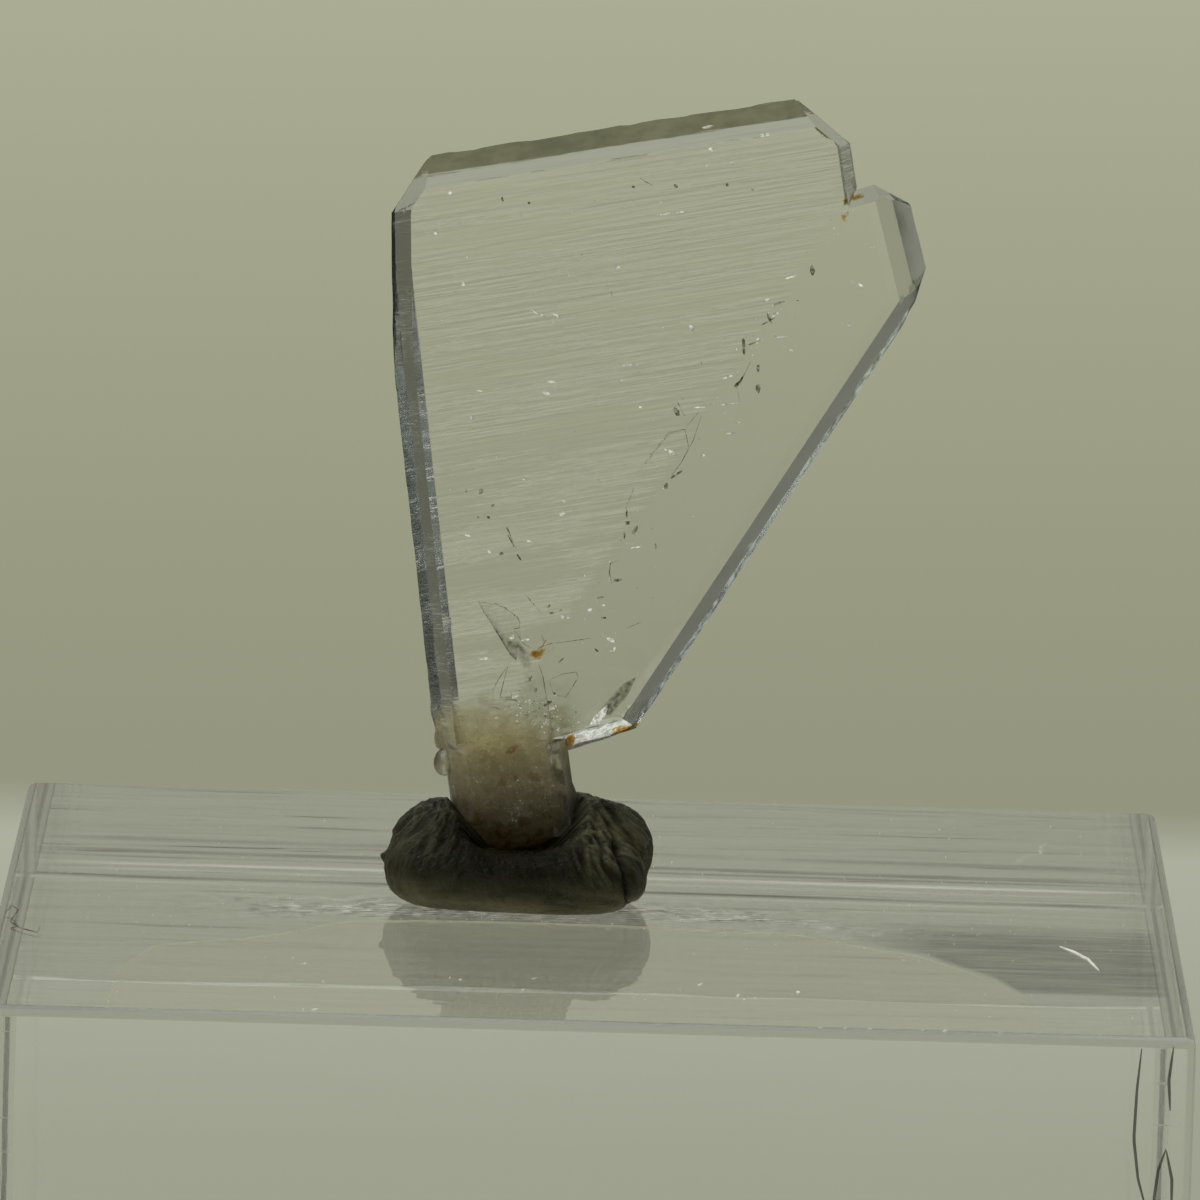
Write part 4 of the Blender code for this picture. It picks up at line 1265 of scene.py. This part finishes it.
def putty_clay():
    """Mounting putty: near-black clay, its darkness partly painted shade, with pulled fibres, glossy
    but for its grit, and pale dust, partly painted light.

    Fibres are 1.4 by 0.19 by 1.1 mm, blotches 2.4 mm and grit 0.11 mm. Dust lies where the
    putty's relief says.
    """
    material, tree, place = new_material("mounting_putty_clay")
    stretch = node(tree, "Mapping", {"Vector": place, "Scale": (700, 5200, 900)})
    fibre = node(tree, "TexNoise", {"Vector": stretch, "Scale": 1.0, "Detail": 4.0, "Roughness": 0.6,
                 "Distortion": 0.6})
    blotch = node(tree, "TexNoise", {"Vector": place, "Scale": 420.0, "Detail": 3.0})
    grit = node(tree, "TexNoise", {"Vector": place, "Scale": 9000.0, "Detail": 2.0})
    mixed = node(tree, "Math", (fibre, blotch), operation="ADD")
    half = node(tree, "MapRange", (mixed, 0.7, 1.3))
    # The near-black tone is partly painted shade, and the pale dust over it partly painted light.
    tone = node(tree, "Mix", (half, "#12110b", "#2e2a1c"), data_type="RGBA")
    broken = node(tree, "MapRange", (half, 0.0, 1.0, 0.55, 1.1))
    dust_and_painted_light = kept_times(tree, "dust", broken)
    tone = node(tree, "Mix", (dust_and_painted_light, tone, "#bab18a"), data_type="RGBA")
    gloss = node(tree, "MapRange", (grit, 0.35, 0.7, 0.24, 0.6))
    height = node(tree, "Math", (grit, 0.3), operation="MULTIPLY")
    total = node(tree, "Math", (fibre, height), operation="ADD")
    bump = node(tree, "Bump", {"Height": total, "Strength": 0.9, "Distance": 0.00024})
    shader = node(tree, "BsdfPrincipled", {"Base Color": tone, "Roughness": gloss,
                  "Specular IOR Level": 0.32, "Normal": bump})
    return surfaced(material, shader)


def glowing_paper():
    """Pale paper lit from below: a near sheet, then a duller one that brightens far behind.

    Both fall off to the sides, more to the right than to the left.
    """
    material, tree, place = new_material("pale_paper_floor")
    axes = node(tree, "SeparateXYZ", {"Vector": place})
    right = node(tree, "MapRange", (axes.outputs["X"], 0.05, 0.17, 1.0, 0.22),
                 interpolation_type="SMOOTHSTEP")
    left = node(tree, "MapRange", (axes.outputs["X"], -0.05, -0.17, 1.0, 0.46),
                interpolation_type="SMOOTHSTEP")
    pool = node(tree, "Math", (right, left), operation="MULTIPLY")
    back = node(tree, "Math", (axes.outputs["Y"], 2.0), operation="MULTIPLY")
    tone = node(tree, "ValToRGB", {"Fac": back})
    stops = ((0.0, "#8d8f80"), (0.17, "#949685"), (0.24, "#9d9f8f"), (0.295, "#a2a594"),
             (0.31, "#949685"), (0.325, "#868771"), (0.45, "#8b8c75"), (0.68, "#95967e"),
             (1.0, "#a1a28b"))
    for at, colour in stops[1:-1]:
        tone.color_ramp.elements.new(at).color = to_linear(colour)
    tone.color_ramp.elements[0].color = to_linear(stops[0][1])
    tone.color_ramp.elements[-1].color = to_linear(stops[-1][1])
    shader = node(tree, "BsdfPrincipled", {"Base Color": "#6f7064", "Roughness": 0.9,
                  "Emission Color": tone, "Emission Strength": pool})
    return surfaced(material, shader)


def make_room():
    """A dim room's light: grey, with a pale wall far behind and a duller one in front."""
    world = bpy.data.worlds.new("studio")
    bpy.context.scene.world = world
    world.use_nodes = True
    tree = world.node_tree
    tree.nodes.clear()
    toward = node(tree, "TexCoord").outputs["Generated"]
    axes = node(tree, "SeparateXYZ", {"Vector": toward})
    back = node(tree, "MapRange", (axes.outputs["Y"], 0.7, 0.985), interpolation_type="SMOOTHSTEP")
    front = node(tree, "MapRange", (axes.outputs["Y"], -0.9, -0.97, 0.0, 0.3),
                 interpolation_type="SMOOTHSTEP")
    walls = node(tree, "Math", (back, front), operation="ADD")
    tone = node(tree, "Mix", (walls, "#4c4e49", "#a9ab98"), data_type="RGBA")
    glow = node(tree, "Background", {"Color": tone, "Strength": 1.0})
    node(tree, "OutputWorld", {"Surface": glow})


def make_stage():
    """A plain pale floor, a dim room with pale walls before and behind, and two soft windows.

    Three of the bounce limits are raised for the quartz. glossy_bounces is left out and stays at
    Blender's default of 4, which rim_coats makes up for.
    """
    reach, level = 6000, -0.3
    corners = [(x * reach, y * reach, level) for x, y in ((-1, -1), (1, -1), (1, 1), (-1, 1))]
    floor = put_mesh("studio_floor", corners, [(0, 1, 2, 3)], glowing_paper())
    make_room()
    block = (0, 0, 40)
    soft_light("left_window", (-540, -20, 720), block, (560, 560), 1.95, "#e6ece6")
    soft_light("back_window", (-190, 760, 660), block, (620, 420), 0.7, "#eef3ec")
    light_paths = bpy.context.scene.cycles
    light_paths.max_bounces = 24
    light_paths.transmission_bounces = 20
    light_paths.transparent_max_bounces = 40


def make_camera():
    """A long lens in front, tipped down to the block and turned a little about its own axis."""
    lens = bpy.data.cameras.new("camera")
    lens.lens = 429
    lens.sensor_width = 36
    lens.clip_start = 0.05
    lens.clip_end = 60
    camera = add_object("camera", lens)
    camera.location = (0.00011, -0.6075, 0.1445)
    turn = Matrix.Rotation(math.radians(80.13), 4, "X") @ Matrix.Rotation(math.radians(1.6), 4, "Z")
    camera.rotation_euler = turn.to_euler()
    bpy.context.scene.camera = camera


def dress(obj, material):
    """Puts a material in place of a piece's own."""
    obj.data.materials.clear()
    obj.data.materials.append(material)


make_stage()
make_camera()
bpy.context.scene.view_settings.view_transform = "Standard"
quartz, coats = make_quartz()
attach(quartz, "root")
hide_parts("twin_crystal")
dress(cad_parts["acrylic_block"], acrylic_glass())
for mark in make_block_marks():
    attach(mark, "root")
fleck_sizes, film_sizes = (1, 1, 1, 1.25, 1.25, 1), (1, 1, 1, 1.35, 1.1, 1)
cracks = [at_depth(*edge) for edge in CRACK_EDGES]
inside = [
    *coats, make_root_cloud(), make_flame_veil(), *make_leaf_crack(), make_stains(), *make_bubbles(),
    *make_scattered_specks(),
    lens_flakes("dark_flecks", np.array(DARK_FLECKS) * fleck_sizes, dark_mineral_and_painted_shade(), 0.04, 25, 1),
    lens_flakes("air_films", np.array(AIR_FILMS) * film_sizes, painted_glint(), 0.012, 12, 2),
    fine_threads("crack_edges", cracks, 0.019, dark_mineral_and_painted_shade()),
    fine_threads("growth_edge", [at_depth(*EDGE_LINE)], 0.02, dark_mineral_and_painted_shade()),
]
for piece in inside:
    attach(piece, "root")
putty = make_putty()
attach(putty, "root")
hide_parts("mounting_putty")
